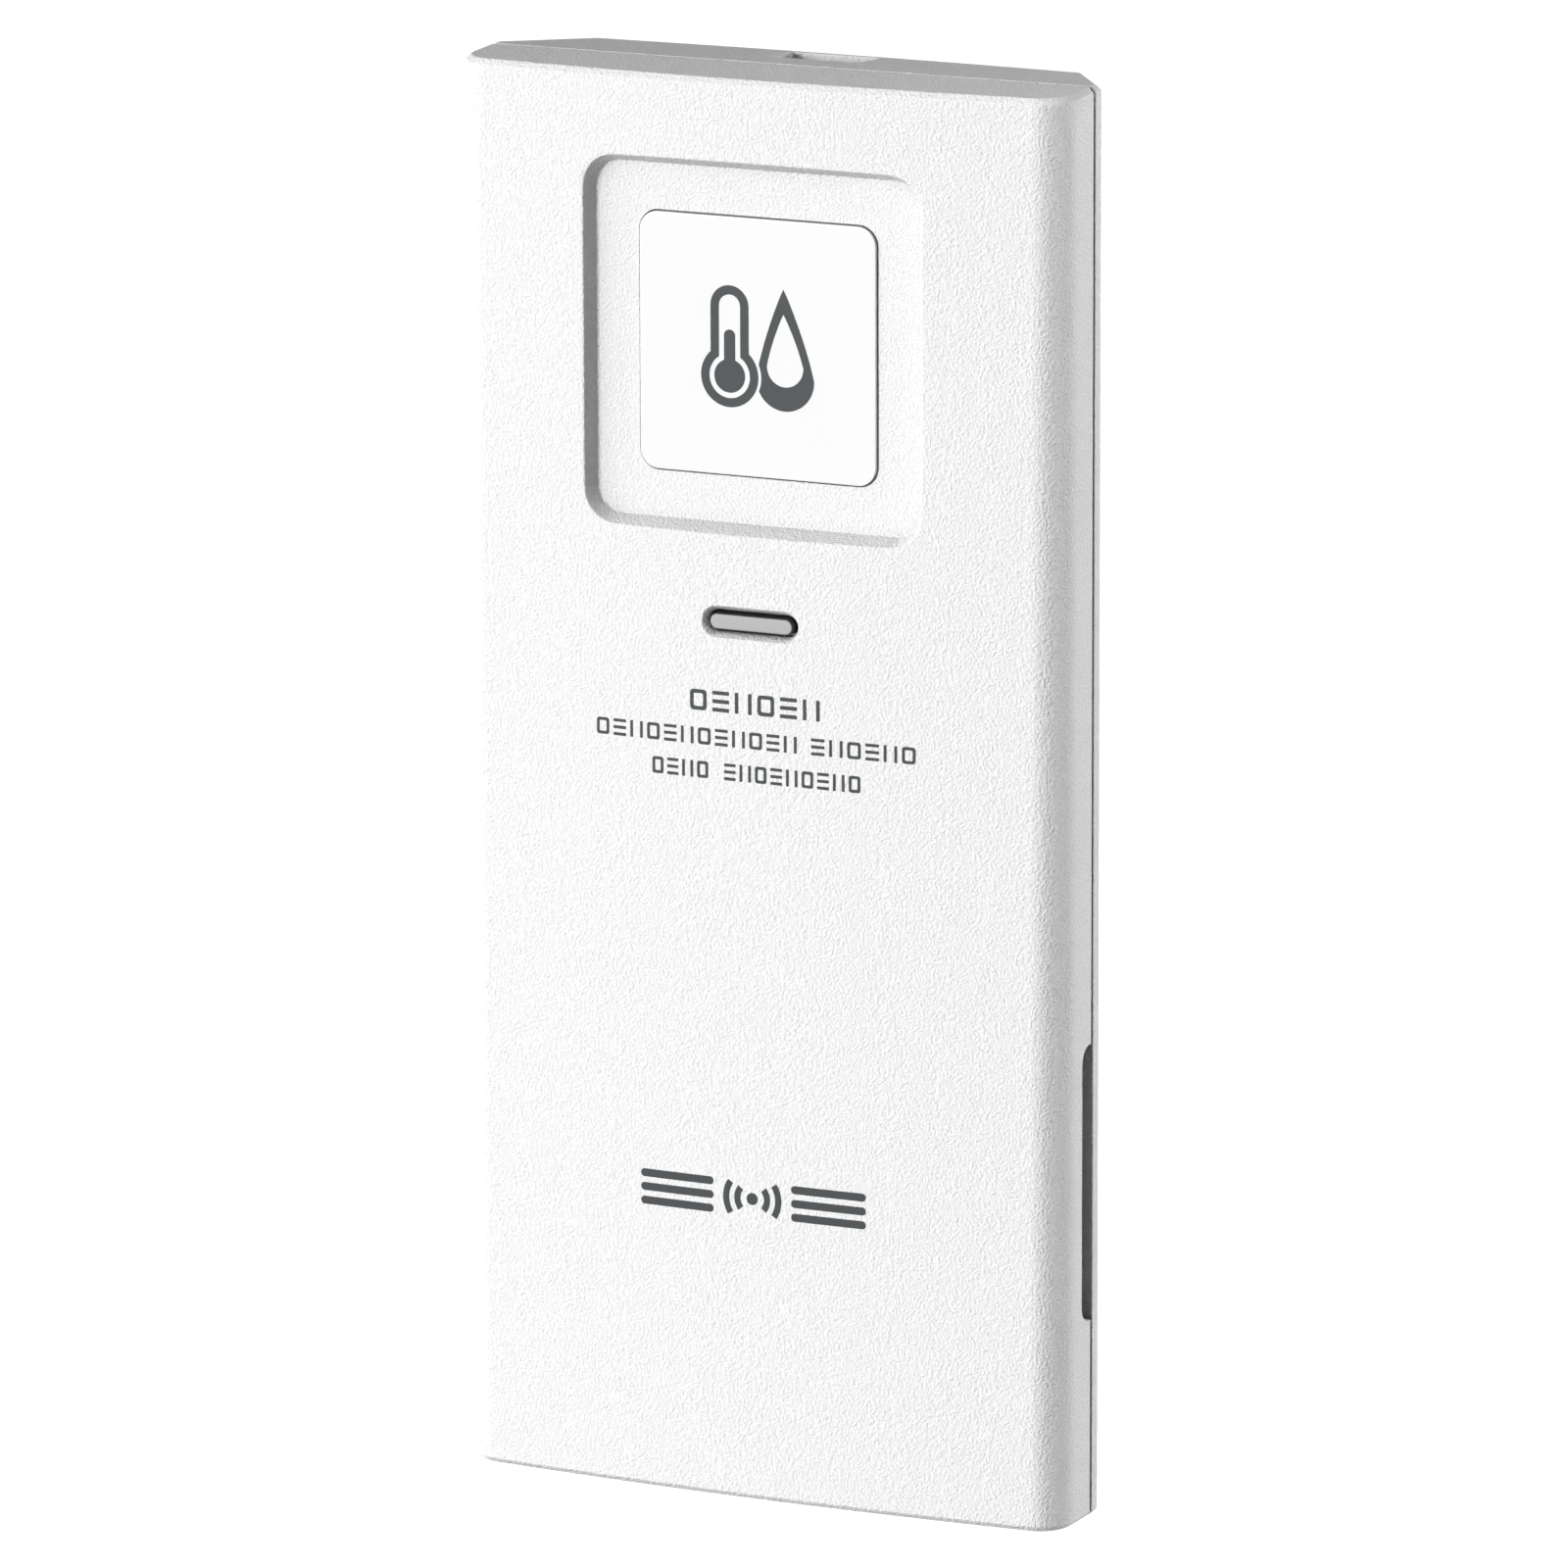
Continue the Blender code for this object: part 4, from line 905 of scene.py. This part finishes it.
def board_finish(name):
    """Solder mask over copper: lighter tracks between small fields, and scattered plated holes."""
    made = Nodes(name)
    mask, track, pad = (0.012, 0.12, 0.05), (0.03, 0.2, 0.085), (0.75, 0.72, 0.62)
    upright = made.add("Mapping", {"Rotation": (math.pi / 2, 0.0, 0.0), "Vector": made.coords["Object"]})
    fields = made.add("TexBrick", {
        "Scale": 1.0, "Brick Width": 3.2 * MM, "Row Height": 1.1 * MM, "Mortar Size": 0.14 * MM,
        "Color1": (*mask, 1.0), "Color2": (*tint(mask, 1.2), 1.0), "Mortar": (*track, 1.0),
        "Vector": upright.outputs["Vector"],
    }, offset=0.35, squash=1.6)
    holes = made.add("TexVoronoi", {"Scale": 1 / (3.5 * MM), "Vector": made.coords["Object"]})
    ring = made.spread(holes.outputs["Distance"], 1.0, 0.0, 0.1, 0.12)
    colour = made.mix(fields.outputs["Color"], (*pad, 1.0), ring)
    return made.surface({"Base Color": colour, "Roughness": 0.38}, fields.outputs["Fac"], 0.03 * MM)


def jacket_finish(name, low_z, high_z, upward):
    """A cell's printed film: slate grey, with a pale band near the positive end."""
    made = Nodes(name)
    slate, band, edge = (0.035, 0.045, 0.06), (0.62, 0.63, 0.64), (0.25, 0.26, 0.28)
    ends = (low_z, high_z) if upward else (high_z, low_z)
    share = made.spread(made.part_of(made.coords["Object"], "Z"), 0.0, 1.0, *ends)
    stops = [(0.0, edge), (0.03, slate), (0.72, edge), (0.735, band), (0.93, edge), (0.945, slate)]
    flecks = made.ramp(made.noise(0.2 * MM), [(0.3, (0.8, 0.8, 0.8)), (0.7, (1.0, 1.0, 1.0))])
    return made.surface({
        "Base Color": made.mix(made.ramp(share, stops, "CONSTANT"), flecks, 0.5, "MULTIPLY"),
        "Roughness": made.spread(made.noise(2 * MM), 0.2, 0.32),
        "Metallic": 0.35,
        "Coat Weight": 0.6,
        "Coat Roughness": 0.12,
    }, made.noise(5 * MM, 2.0, (1.0, 1.0, 0.2)), 0.004 * MM)


def lens_finish(name, colour, transmission, roughness):
    """Tinted moulded plastic with a faintly frosted skin."""
    made = Nodes(name)
    haze = made.noise(0.3 * MM)
    return made.surface({
        "Base Color": made.ramp(haze, [(0.3, tint(colour, 0.97)), (0.7, colour)]),
        "Roughness": made.spread(haze, roughness * 0.85, roughness * 1.15),
        "Transmission Weight": transmission,
        "IOR": 1.49,
    }, haze, 0.001 * MM)


def diffuser_finish(name, face, shaded_flank):
    """Frosted plastic: a grey front face, and flanks painted nearly black as the shadow of the slot around
    them.
    """
    made = Nodes(name)
    # Painted shade: faces turned away from the front get a nearly black colour for the shadow in the slot
    flank_shade_mask = made.spread(made.part_of(made.coords["Normal"], "Y"), 0.0, 1.0, -0.96, -0.75)
    return made.surface({
        "Base Color": made.ramp(flank_shade_mask, [(0.0, face), (1.0, shaded_flank)]),
        "Roughness": made.spread(made.noise(0.3 * MM), 0.5, 0.54),
        "IOR": 1.49,
    })


def make_finishes():
    return {
        "shell": shell_finish("white_satin_painted_shade", (0.752, 0.752, 0.752), 0.68, 0.24 * MM, 0.2 * MM, 0.25),
        "plate": plastic("white_gloss", (0.77, 0.77, 0.77), 0.1, grain=2 * MM, depth=0.002 * MM,
                         vary=0.004),
        "ink": plastic("grey_ink", (0.033, 0.039, 0.042), 0.5, grain=0.12 * MM, vary=0.05, patch=1.5 * MM,
                       specular=0.3),
        "pipe": diffuser_finish("frosted_light_pipe_painted_shade", (0.34, 0.34, 0.34), (0.03, 0.03, 0.032)),
        "led": lens_finish("red_lens", (0.8, 0.08, 0.05), 0.6, 0.12),
        "contact": metal("nickel_strip", (0.7, 0.69, 0.66), 0.26),
        "steel": metal("tin_plated_steel", (0.72, 0.72, 0.71), 0.2, (1.0, 1.0, 1.0), 0.8 * MM),
        "screw": metal("zinc_screw", (0.6, 0.6, 0.6), 0.32, (1.0, 1.0, 1.0), 0.3 * MM),
        "can": metal("tin_can", (0.7, 0.7, 0.68), 0.28, (6.0, 1.0, 1.0)),
        "board": board_finish("green_board"),
        "chip": plastic("black_epoxy", (0.018, 0.018, 0.02), 0.5, grain=0.1 * MM, vary=0.15, patch=2 * MM),
        "switch": plastic("switch_housing", (0.03, 0.03, 0.032), 0.45, vary=0.1),
        "slider": plastic("black_slider", (0.025, 0.025, 0.027), 0.42, vary=0.1, patch=1 * MM),
        "button": plastic("grey_button", (0.22, 0.23, 0.24), 0.6, grain=0.15 * MM, vary=0.05),
        "sleeve": plastic("capacitor_sleeve", (0.03, 0.04, 0.1), 0.3, vary=0.06),
        "insulation": plastic("white_insulation", (0.82, 0.82, 0.79), 0.45, vary=0.03),
        "ribbon": plastic("grey_ribbon", (0.4, 0.4, 0.41), 0.5, vary=0.05),
        "red": plastic("red_insulation", (0.55, 0.02, 0.015), 0.4, vary=0.05),
        "black": plastic("black_insulation", (0.02, 0.02, 0.02), 0.4, vary=0.1),
    }


# ---------------------------------------------------------------- front details

def make_plate(finish):
    """The glossy badge plate with a rounded rim."""
    outline = rounded_rect(PLATE_HALF, PLATE_HALF, PLATE_RADIUS, (0.0, RECESS_Z), 14)
    plate = rounded_slab("badge_plate", outline, PLATE_LOW.y, PLATE_HIGH.y, PLATE_SOFT)
    dress(shade(plate, 40.0), finish, "case", ["icon_plate"])


def make_light_pipe(finish):
    """A stadium bar with a rounded nose, and a flange behind the wall."""
    half_u, half_v = SLOT_HALF[0] - PIPE_MARGIN, SLOT_HALF[1] - PIPE_MARGIN
    outline = rounded_rect(half_u, half_v, half_v * 0.999, (0.0, LIGHT_Z), 14)
    pipe = rounded_slab("light_bar", outline, PIPE_LOW.y, PIPE_HIGH.y, PIPE_NOSE)
    flange_y = FRONT_Y + WALL + GAP
    flange_half_v = (PIPE_HIGH.z - PIPE_LOW.z) / 2
    flange_outline = rounded_rect(PIPE_HIGH.x, flange_half_v, 0.5 * MM, (0.0, LIGHT_Z), 6)
    carve(pipe, [prism("flange", flange_outline(), "Y", flange_y, flange_y + MM)], "UNION")
    dress(shade(pipe, 40.0), finish, "case", ["light_pipe"])


def ink(name, outlines, surface, finish, holes=()):
    """A thin print that follows a surface, from outlines in (x, z)."""
    def film(kind, points, offsets):
        return skin(f"{name}{kind}", [[(u, surface(u, v) + y, v) for u, v in points] for y in offsets])

    solids = [film(f"_{i}", points, (INK_THICK - INK_PROUD, -INK_PROUD))
              for i, points in enumerate(outlines)]
    whole = solids[0] if len(solids) == 1 else join_meshes(f"{name}_all", solids)
    if holes:
        carve(whole, [film(f"_hole_{i}", points, (2 * INK_THICK, -INK_THICK))
                      for i, points in enumerate(holes)])
    whole.name = name
    dress(shade(whole, 40.0), finish, "case")


def plate_face(_u=0.0, _v=0.0):
    return PLATE_LOW.y


def thermometer(centre, bulb, half_width, top_z, grow=0.0):
    """A bulb with a round-ended tube above it."""
    radius, half = bulb + grow, half_width + grow
    spread = math.degrees(math.asin(half / radius))
    return [*arc(centre, radius, 90 + spread, 450 - spread, 40),
            *arc((centre[0], top_z - half_width), half, 0, 180, 20)]


def drop(tip, centre, radius):
    """A round foot drawn up to a point along two soft curves."""
    reach = tip[1] - centre[1]
    right, left = [], []
    for i in range(1, 12):
        t = i / 12
        width = radius * (1 - t)**0.92 * (1 + 0.42 * t - 0.1 * t**2) * (1 - 0.12 * t)
        middle = centre[0] + (tip[0] - centre[0]) * t
        right.append((middle + width, centre[1] + reach * t))
        left.append((middle - width, centre[1] + reach * t))
    return [*arc(centre, radius, 180, 360, 40), *right, tip, *reversed(left)]


def make_pictogram(finish):
    """A plain thermometer beside a plain drop."""
    across, up = ICON_CENTRE
    top_z = up + 5.4 * MM
    bulb_at = (across - 2.6 * MM, up - 2.6 * MM)
    bulb, half_width, line = 2.77 * MM, 1.84 * MM, 0.81 * MM
    ink("print_thermometer", [thermometer(bulb_at, bulb, half_width, top_z)], plate_face, finish,
        [thermometer(bulb_at, bulb, half_width, top_z, -line)])
    ink("print_thermometer_fill", [thermometer(bulb_at, 1.49 * MM, 0.54 * MM, up + 1.5 * MM)],
        plate_face, finish)
    tip, foot = (across + 2.6 * MM, top_z), (across + 2.75 * MM, up - 2.55 * MM)
    hollow_tip, hollow_foot = (tip[0], up + 3.2 * MM), (foot[0], up - 1.45 * MM)
    margin = circle(*bulb_at, bulb + 0.28 * MM, 60)()
    ink("print_drop", [drop(tip, foot, 2.8 * MM)], plate_face, finish,
        [drop(hollow_tip, hollow_foot, 1.76 * MM), margin])


def mark(kind, centre, half_u, half_v, stroke):
    """One plain geometric mark: the outlines to print, and the outlines to leave blank."""
    u, v = centre
    if kind == "frame":
        outer = rounded_rect(half_u, half_v, 0.4 * half_u, centre, 4)()
        inner = rounded_rect(half_u - stroke, half_v - stroke, 0.2 * half_u, centre, 4)()
        return [outer], [inner]
    if kind == "level":
        places = [(u, v + side * (half_v - stroke / 2)) for side in (-1, 0, 1)]
        return [rounded_rect(half_u, stroke / 2, 0.1 * stroke, place, 2)() for place in places], []
    places = [(u + side * (half_u - stroke / 2), v) for side in (-1, 1)]
    return [rounded_rect(stroke / 2, half_v, 0.1 * stroke, place, 2)() for place in places], []


def mark_row(low_x, high_x, count, low_z, high_z, stroke, first):
    """A row of plain marks that stands in for a printed word."""
    kinds = ("frame", "level", "upright")
    pitch = (high_x - low_x) / (count - 0.26)
    half_u = 0.37 * pitch
    shown, blank = [], []
    for i in range(count):
        centre = (low_x + half_u + pitch * i, (low_z + high_z) / 2)
        more_shown, more_blank = mark(kinds[(first + i) % 3], centre, half_u, (high_z - low_z) / 2, stroke)
        shown += more_shown
        blank += more_blank
    return shown, blank


def make_printed_lines(finish):
    """Three rows of plain marks in place of lettering."""
    # In mm: the bottom and top of a row, its stroke, then left end, right end and count of each word
    rows = {
        "print_row_1": ((71.15, 73.0), 0.34, [(-5.9, 6.67, 6)]),
        "print_row_2": ((68.1, 69.6), 0.27, [(-15.18, 4.45, 12), (5.84, 15.75, 6)]),
        "print_row_3": ((65.1, 66.6), 0.27, [(-9.65, -4.16, 4), (-2.59, 10.53, 9)]),
    }
    for name, ((low_z, high_z), stroke, words) in rows.items():
        shown, blank = [], []
        for first, (low_x, high_x, count) in enumerate(words):
            more_shown, more_blank = mark_row(low_x * MM, high_x * MM, count, low_z * MM, high_z * MM,
                                              stroke * MM, first)
            shown += more_shown
            blank += more_blank
        ink(name, shown, face_y, finish, blank)


def make_signal_mark(finish):
    """A dot with two pairs of radio arcs between two stacks of bars."""
    z, half_height = 27.55 * MM, 1.65 * MM
    outlines = [circle(0.0, z, 0.55 * MM, 24)()]
    for radius in (1.45 * MM, 2.55 * MM):
        for middle in (0, 180):
            spread = math.degrees(math.asin(min(0.64, half_height / radius * 0.86)))
            outer = arc((0.0, z), radius + 0.3 * MM, middle - spread, middle + spread, 16)
            inner = arc((0.0, z), radius - 0.3 * MM, middle + spread, middle - spread, 16)
            outlines.append([*outer, *inner])
    for side in (-1, 1):
        for level in (-1, 0, 1):
            place = (side * 7.4 * MM, z + level * 1.25 * MM)
            outlines.append(rounded_rect(3.6 * MM, 0.36 * MM, 0.34 * MM, place, 6, 6)())
    ink("print_signal_mark", outlines, face_y, finish)


# ---------------------------------------------------------------- battery set

def make_cell(node, finishes):
    """A cell: a film jacket, and a steel cap and base."""
    low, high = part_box(node)
    x, y = (low.x + high.x) / 2, (low.y + high.y) / 2
    radius = (high.x - low.x) / 2
    upward = node == "battery_left"
    length = high.z - low.z
    nub = 1.0 * MM
    origin = (x, y, low.z if upward else high.z)
    flip = not upward
    shoulder = length - nub
    body = [(0.0, shoulder - 0.5 * MM), (radius - 1.5 * MM, shoulder - 0.5 * MM),
            (radius - 1.2 * MM, shoulder - 0.1 * MM), (radius - 0.9 * MM, shoulder),
            (radius - 0.3 * MM, shoulder - 0.05 * MM), (radius - 0.06 * MM, shoulder - 0.3 * MM),
            (radius, shoulder - 0.8 * MM), (radius, 0.7 * MM), (radius - 0.06 * MM, 0.3 * MM),
            (radius - 0.3 * MM, 0.05 * MM), (radius - 0.7 * MM, 0.02 * MM),
            (radius - 0.9 * MM, 0.3 * MM), (0.0, 0.3 * MM)]
    jacket = turned(f"{node}_jacket", body, origin, flip=flip, sides=72)
    dress(shade(jacket, 50.0), jacket_finish(f"{node}_film", low.z, high.z, upward), "case", [node])
    cap = [(0.0, length), (2.3 * MM, length), (2.6 * MM, length - 0.1 * MM),
           (2.7 * MM, length - 0.35 * MM), (2.7 * MM, shoulder - 0.1 * MM),
           (4.6 * MM, shoulder - 0.3 * MM), (4.6 * MM, shoulder - 0.6 * MM), (0.0, shoulder - 0.6 * MM)]
    dress(shade(turned(f"{node}_cap", cap, origin, flip=flip), 40.0), finishes["steel"], "case")
    base = [(0.0, 0.35 * MM), (radius - 1.0 * MM, 0.35 * MM), (radius - 1.0 * MM, 0.2 * MM),
            (radius - 1.4 * MM, 0.06 * MM), (3.6 * MM, 0.0), (3.3 * MM, 0.1 * MM), (0.0, 0.12 * MM)]
    dress(shade(turned(f"{node}_base", base, origin, flip=flip), 40.0), finishes["steel"], "case")


def make_spring(node, finish, wide_low):
    """A conical contact spring of three turns."""
    low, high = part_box(node)
    middle = ((low.x + high.x) / 2, (low.y + high.y) / 2)
    radius, turns, per_turn = 0.35 * MM, 3.0, 40
    wide, narrow = 5.0 * MM, 2.6 * MM
    count = int(turns * per_turn)
    points = []
    for i in range(count + 1):
        share = i / count
        reach = wide + (narrow - wide) * (share if wide_low else 1 - share)
        angle = 2 * math.pi * turns * share
        z = low.z + radius + (high.z - low.z - 2 * radius) * share
        points.append((middle[0] + reach * math.cos(angle), middle[1] + reach * math.sin(angle), z))
    dress(shade(wire(f"{node}_coil", points, radius), 60.0), finish, "case", [node])


def make_contact(node, finish, dimples):
    """A strip with rounded edges, and a pressed dimple at each given place."""
    low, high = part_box(node)
    strip = box(f"{node}_strip", low, high)
    soften(strip, 0.12 * MM, segments=2)
    y = (low.y + high.y) / 2 + 1.0 * MM
    marks = []
    for i, (x, towards) in enumerate(dimples):
        face = high.z if towards > 0 else low.z
        profile = [(0.0, 0.2 * MM), (0.7 * MM, 0.17 * MM), (1.3 * MM, 0.05 * MM), (1.5 * MM, -0.1 * MM),
                   (0.0, -0.1 * MM)]
        marks.append(turned(f"{node}_dimple_{i}", profile, (x, y, face), flip=towards < 0, sides=32))
    if marks:
        carve(strip, marks, "UNION")
    dress(shade(strip, 40.0), finish, "case", [node])


def make_battery_set(finishes):
    for node in ("battery_left", "battery_right"):
        make_cell(node, finishes)
    low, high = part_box("battery_right")
    cell_x = low.x / 2 + high.x / 2
    make_contact("contact_bridge", finishes["contact"], [(cell_x, 1)])
    make_contact("contact_positive", finishes["contact"], [(-cell_x, -1)])
    make_contact("contact_negative", finishes["contact"], [])
    make_spring("spring_left", finishes["contact"], True)
    make_spring("spring_right", finishes["contact"], False)


# ---------------------------------------------------------------- screws and switches

def make_screw(node, finish, body):
    """A screw with a cross recess, head towards the back. Rings on the shank stand in for a thread."""
    low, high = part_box(node)
    x, z = (low.x + high.x) / 2, (low.z + high.z) / 2
    radius = (high.x - low.x) / 2
    length = high.y - low.y
    tall = {"door_screw": 0.6, "board_screw_left": 1.1, "board_screw_right": 1.1}.get(node, 1.6) * MM
    shank = 0.8 * MM if node.startswith("board") else SCREW_SHANK_RADIUS
    rim = 0.3 * tall
    profile = [(0.0, 0.0), (0.55 * radius, -0.04 * tall), (0.85 * radius, -0.22 * tall),
               (radius, -0.5 * tall), (radius, -tall + rim * 0.2), (radius - rim * 0.2, -tall),
               (shank, -tall)]
    place = tall + 0.4 * MM
    while place + THREAD_PITCH < length - 0.9 * MM:
        profile += [(shank * 0.76, -place), (shank, -place - 0.32 * THREAD_PITCH),
                    (shank, -place - 0.4 * THREAD_PITCH)]
        place += THREAD_PITCH
    profile += [(shank * 0.76, -length + 0.8 * MM), (0.25 * shank, -length), (0.0, -length)]
    screw = turned(f"{node}_fine", profile, (x, high.y, z), axis="Y", sides=40)
    depth = min(0.75 * MM, 0.8 * tall)
    arms = []
    for i, (long, wide) in enumerate(((0.62, 0.13), (0.13, 0.62))):
        narrowed = wide * (0.6 if wide > long else 1.0)
        top = rounded_rect(long * radius, wide * radius, 0.08 * radius, (x, z), 3)()
        foot = rounded_rect(long * radius * 0.6, narrowed * radius, 0.05 * radius, (x, z), 3)()
        arms.append(skin(f"{node}_arm_{i}", [[(u, high.y + 0.1 * MM, v) for u, v in top],
                                             [(u, high.y - depth, v) for u, v in foot]]))
    carve(screw, arms)
    dress(shade(screw, 35.0), finish, body, [node])


def make_slider(finish):
    """The channel slider: a grooved finger post on its foot."""
    low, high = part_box("channel_slider")
    x = (low.x + high.x) / 2
    post = prism("slider_post", rounded_rect(SLIDER_HALF, SLIDER_HALF, 0.2 * MM, (x, SWITCH_Z), 4)(),
                 "Y", low.y + 0.1 * MM, high.y)
    soften(post, 0.12 * MM, 50.0, 2)
    foot = box("slider_foot", (low.x, low.y, low.z), (high.x, low.y + 0.7 * MM, high.z))
    carve(post, [foot], "UNION")
    grooves = [
        prism(f"slider_groove_{i}", arc((x + 0.6 * i * MM, high.y + 0.06 * MM), 0.22 * MM, 0, 330, 11),
              "Z", SWITCH_Z - 2 * MM, SWITCH_Z + 2 * MM)
        for i in (-1, 0, 1)
    ]
    carve(post, grooves)
    dress(shade(post), finish, "slider", ["channel_slider"])


def make_reset_button(finish):
    """The reset button: a dished cap on its flange."""
    low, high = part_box("reset_button")
    tall = high.y - low.y
    flange = (high.x - low.x) / 2
    profile = [(0.0, -0.18 * MM), (0.6 * MM, -0.14 * MM), (1.05 * MM, 0.0), (1.3 * MM, -0.02 * MM),
               (RESET_RADIUS - 0.03 * MM, -0.1 * MM), (RESET_RADIUS, -0.3 * MM),
               (RESET_RADIUS, -tall + 0.5 * MM), (flange, -tall + 0.5 * MM), (flange, -tall), (0.0, -tall)]
    button = turned("reset_cap", profile, (RESET_X, high.y, SWITCH_Z), axis="Y")
    dress(shade(button), finish, "reset", ["reset_button"])


DIGIT_STROKES = {
    "1": [[(-0.25, 0.55), (0.1, 0.8), (0.1, -0.8)]],
    "2": [[(-0.45, 0.5), (-0.25, 0.75), (0.15, 0.8), (0.42, 0.55), (0.4, 0.2), (-0.45, -0.8), (0.48, -0.8)]],
    "3": [[(-0.42, 0.6), (0.0, 0.82), (0.4, 0.55), (0.3, 0.15), (0.0, 0.05)],
          [(0.0, 0.05), (0.38, -0.1), (0.45, -0.5), (0.05, -0.82), (-0.45, -0.6)]],
    "plus": [[(-0.7, 0.0), (0.7, 0.0)], [(0.0, -0.7), (0.0, 0.7)]],
    "minus": [[(-0.7, 0.0), (0.7, 0.0)]],
}


def make_shelf_marks(finish):
    """Channel numbers beside the slider and polarity signs above the cells, read from behind."""
    step = SLIDER_TRAVEL / 2
    places = {
        "1": (SLIDER_X + step, SWITCH_Z + 2.75 * MM, 0.62),
        "2": (SLIDER_X, SWITCH_Z + 2.75 * MM, 0.62),
        "3": (SLIDER_X - step, SWITCH_Z + 2.75 * MM, 0.62),
        "plus": (-12.6 * MM, BAY_Z[1] + 2.6 * MM, 1.0),
        "minus": (12.9 * MM, BAY_Z[1] + 2.6 * MM, 1.0),
    }
    for sign, (x, z, size) in places.items():
        strokes = [
            wire(f"stroke_{sign}_{i}", [(x - u * size * MM, SHELF_Y, z + v * size * MM) for u, v in stroke],
                 0.11 * MM, 2)
            for i, stroke in enumerate(DIGIT_STROKES[sign])
        ]
        dress(shade(join_meshes(f"mark_{sign}", strokes), 60.0), finish, "case")


# ---------------------------------------------------------------- carried-over nodes

def finish_inner_nodes(finishes):
    """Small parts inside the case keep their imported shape, with rounded edges and their own finish."""
    inner = {
        "circuit_board": "board", "radio_board": "board", "sensor_board": "board",
        "microcontroller": "chip", "hygro_thermo_chip": "chip", "crystal_can": "can",
        "radio_shield": "can", "capacitor": "sleeve", "status_led": "led",
        "antenna_wire": "insulation", "ribbon_cable": "ribbon", "lead_red": "red",
        "lead_black": "black", "channel_switch_body": "switch", "reset_switch_body": "switch",
    }
    for node, finish in inner.items():
        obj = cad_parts[node]
        obj.data.materials.clear()
        obj.data.materials.append(finishes[finish])
        rounding = obj.modifiers.new("edges", "BEVEL")
        rounding.width = 0.12 * MM
        rounding.segments = 2
        rounding.limit_method = "ANGLE"
        rounding.angle_limit = math.radians(50)


# ---------------------------------------------------------------- studio

def make_floor():
    """A wide pale floor that glows softly and leaves the light on the object to the lamps."""
    floor = prism("studio_floor", circle(0.0, 0.0, FLOOR_RADIUS, 64)(), "Z", -20 * MM, -0.05 * MM)
    made = Nodes("pale_floor")
    floor.data.materials.append(made.surface({
        "Base Color": (0.9, 0.9, 0.9, 1.0),
        "Roughness": made.spread(made.noise(0.4), 0.88, 0.9),
        "Emission Color": (1.0, 1.0, 1.0, 1.0),
        "Emission Strength": FLOOR_GLOW,
    }))
    floor.visible_diffuse = False
    floor.visible_glossy = False
    floor.visible_shadow = False


def make_world():
    """White for the camera, and a very faint even light for the object."""
    world = bpy.data.worlds.new("studio")
    bpy.context.scene.world = world
    world.use_nodes = True
    tree = world.node_tree
    backdrop = tree.nodes["Background"]
    backdrop.inputs["Color"].default_value = (1.0, 1.0, 1.0, 1.0)
    backdrop.inputs["Strength"].default_value = 1.0
    light = tree.nodes.new("ShaderNodeBackground")
    light.inputs["Strength"].default_value = AMBIENT
    mix = tree.nodes.new("ShaderNodeMixShader")
    path = tree.nodes.new("ShaderNodeLightPath")
    tree.links.new(path.outputs["Is Camera Ray"], mix.inputs["Fac"])
    tree.links.new(light.outputs["Background"], mix.inputs[1])
    tree.links.new(backdrop.outputs["Background"], mix.inputs[2])
    tree.links.new(mix.outputs["Shader"], tree.nodes["World Output"].inputs["Surface"])


def around(azimuth, elevation, distance, target):
    """A place about a target. Azimuth 0 is ahead of the front, and 90 is on the +X side."""
    a, e = math.radians(azimuth), math.radians(elevation)
    way = Vector((math.sin(a) * math.cos(e), -math.cos(a) * math.cos(e), math.sin(e)))
    return Vector(target) + distance * way


def softbox(name, azimuth, elevation, distance, side, watts):
    middle = Vector((0.0, 0.0, HEIGHT / 2))
    lamp = bpy.data.lights.new(name, "AREA")
    lamp.shape = "RECTANGLE"
    lamp.size, lamp.size_y = side, side
    lamp.energy = watts
    obj = add_object(name, lamp)
    obj.location = around(azimuth, elevation, distance, middle)
    obj.rotation_euler = (obj.location - middle).to_track_quat("Z", "Y").to_euler()


def make_camera():
    data = bpy.data.cameras.new("camera")
    data.lens = CAMERA_LENS
    data.sensor_width = 36.0
    data.clip_start, data.clip_end = 0.1, 50.0
    camera = add_object("camera", data)
    target = Vector(CAMERA_TARGET)
    camera.location = around(CAMERA_AZIMUTH, CAMERA_ELEVATION, CAMERA_DISTANCE, target)
    aim = (camera.location - target).to_track_quat("Z", "Y").to_matrix().to_4x4()
    roll = Matrix.Rotation(math.radians(CAMERA_ROLL), 4, "Z")
    camera.matrix_world = Matrix.Translation(camera.location) @ aim @ roll
    bpy.context.scene.camera = camera


def make_studio():
    make_camera()
    make_floor()
    make_world()
    for name, lamp in LAMPS.items():
        softbox(name, *lamp)
    bpy.context.scene.view_settings.view_transform = "Standard"


def make_object():
    finishes = make_finishes()
    make_front_shell(finishes["shell"])
    make_rear_shell(finishes["shell"])
    make_door(finishes["shell"])
    make_plate(finishes["plate"])
    make_light_pipe(finishes["pipe"])
    make_pictogram(finishes["ink"])
    make_printed_lines(finishes["ink"])
    make_signal_mark(finishes["ink"])
    make_battery_set(finishes)
    make_slider(finishes["slider"])
    make_reset_button(finishes["button"])
    make_shelf_marks(finishes["ink"])
    for i in range(4):
        make_screw(f"case_screw_{i + 1}", finishes["screw"], "case")
    for side in ("left", "right"):
        make_screw(f"board_screw_{side}", finishes["screw"], "case")
    make_screw("door_screw", finishes["screw"], "door")
    finish_inner_nodes(finishes)


make_studio()
make_object()
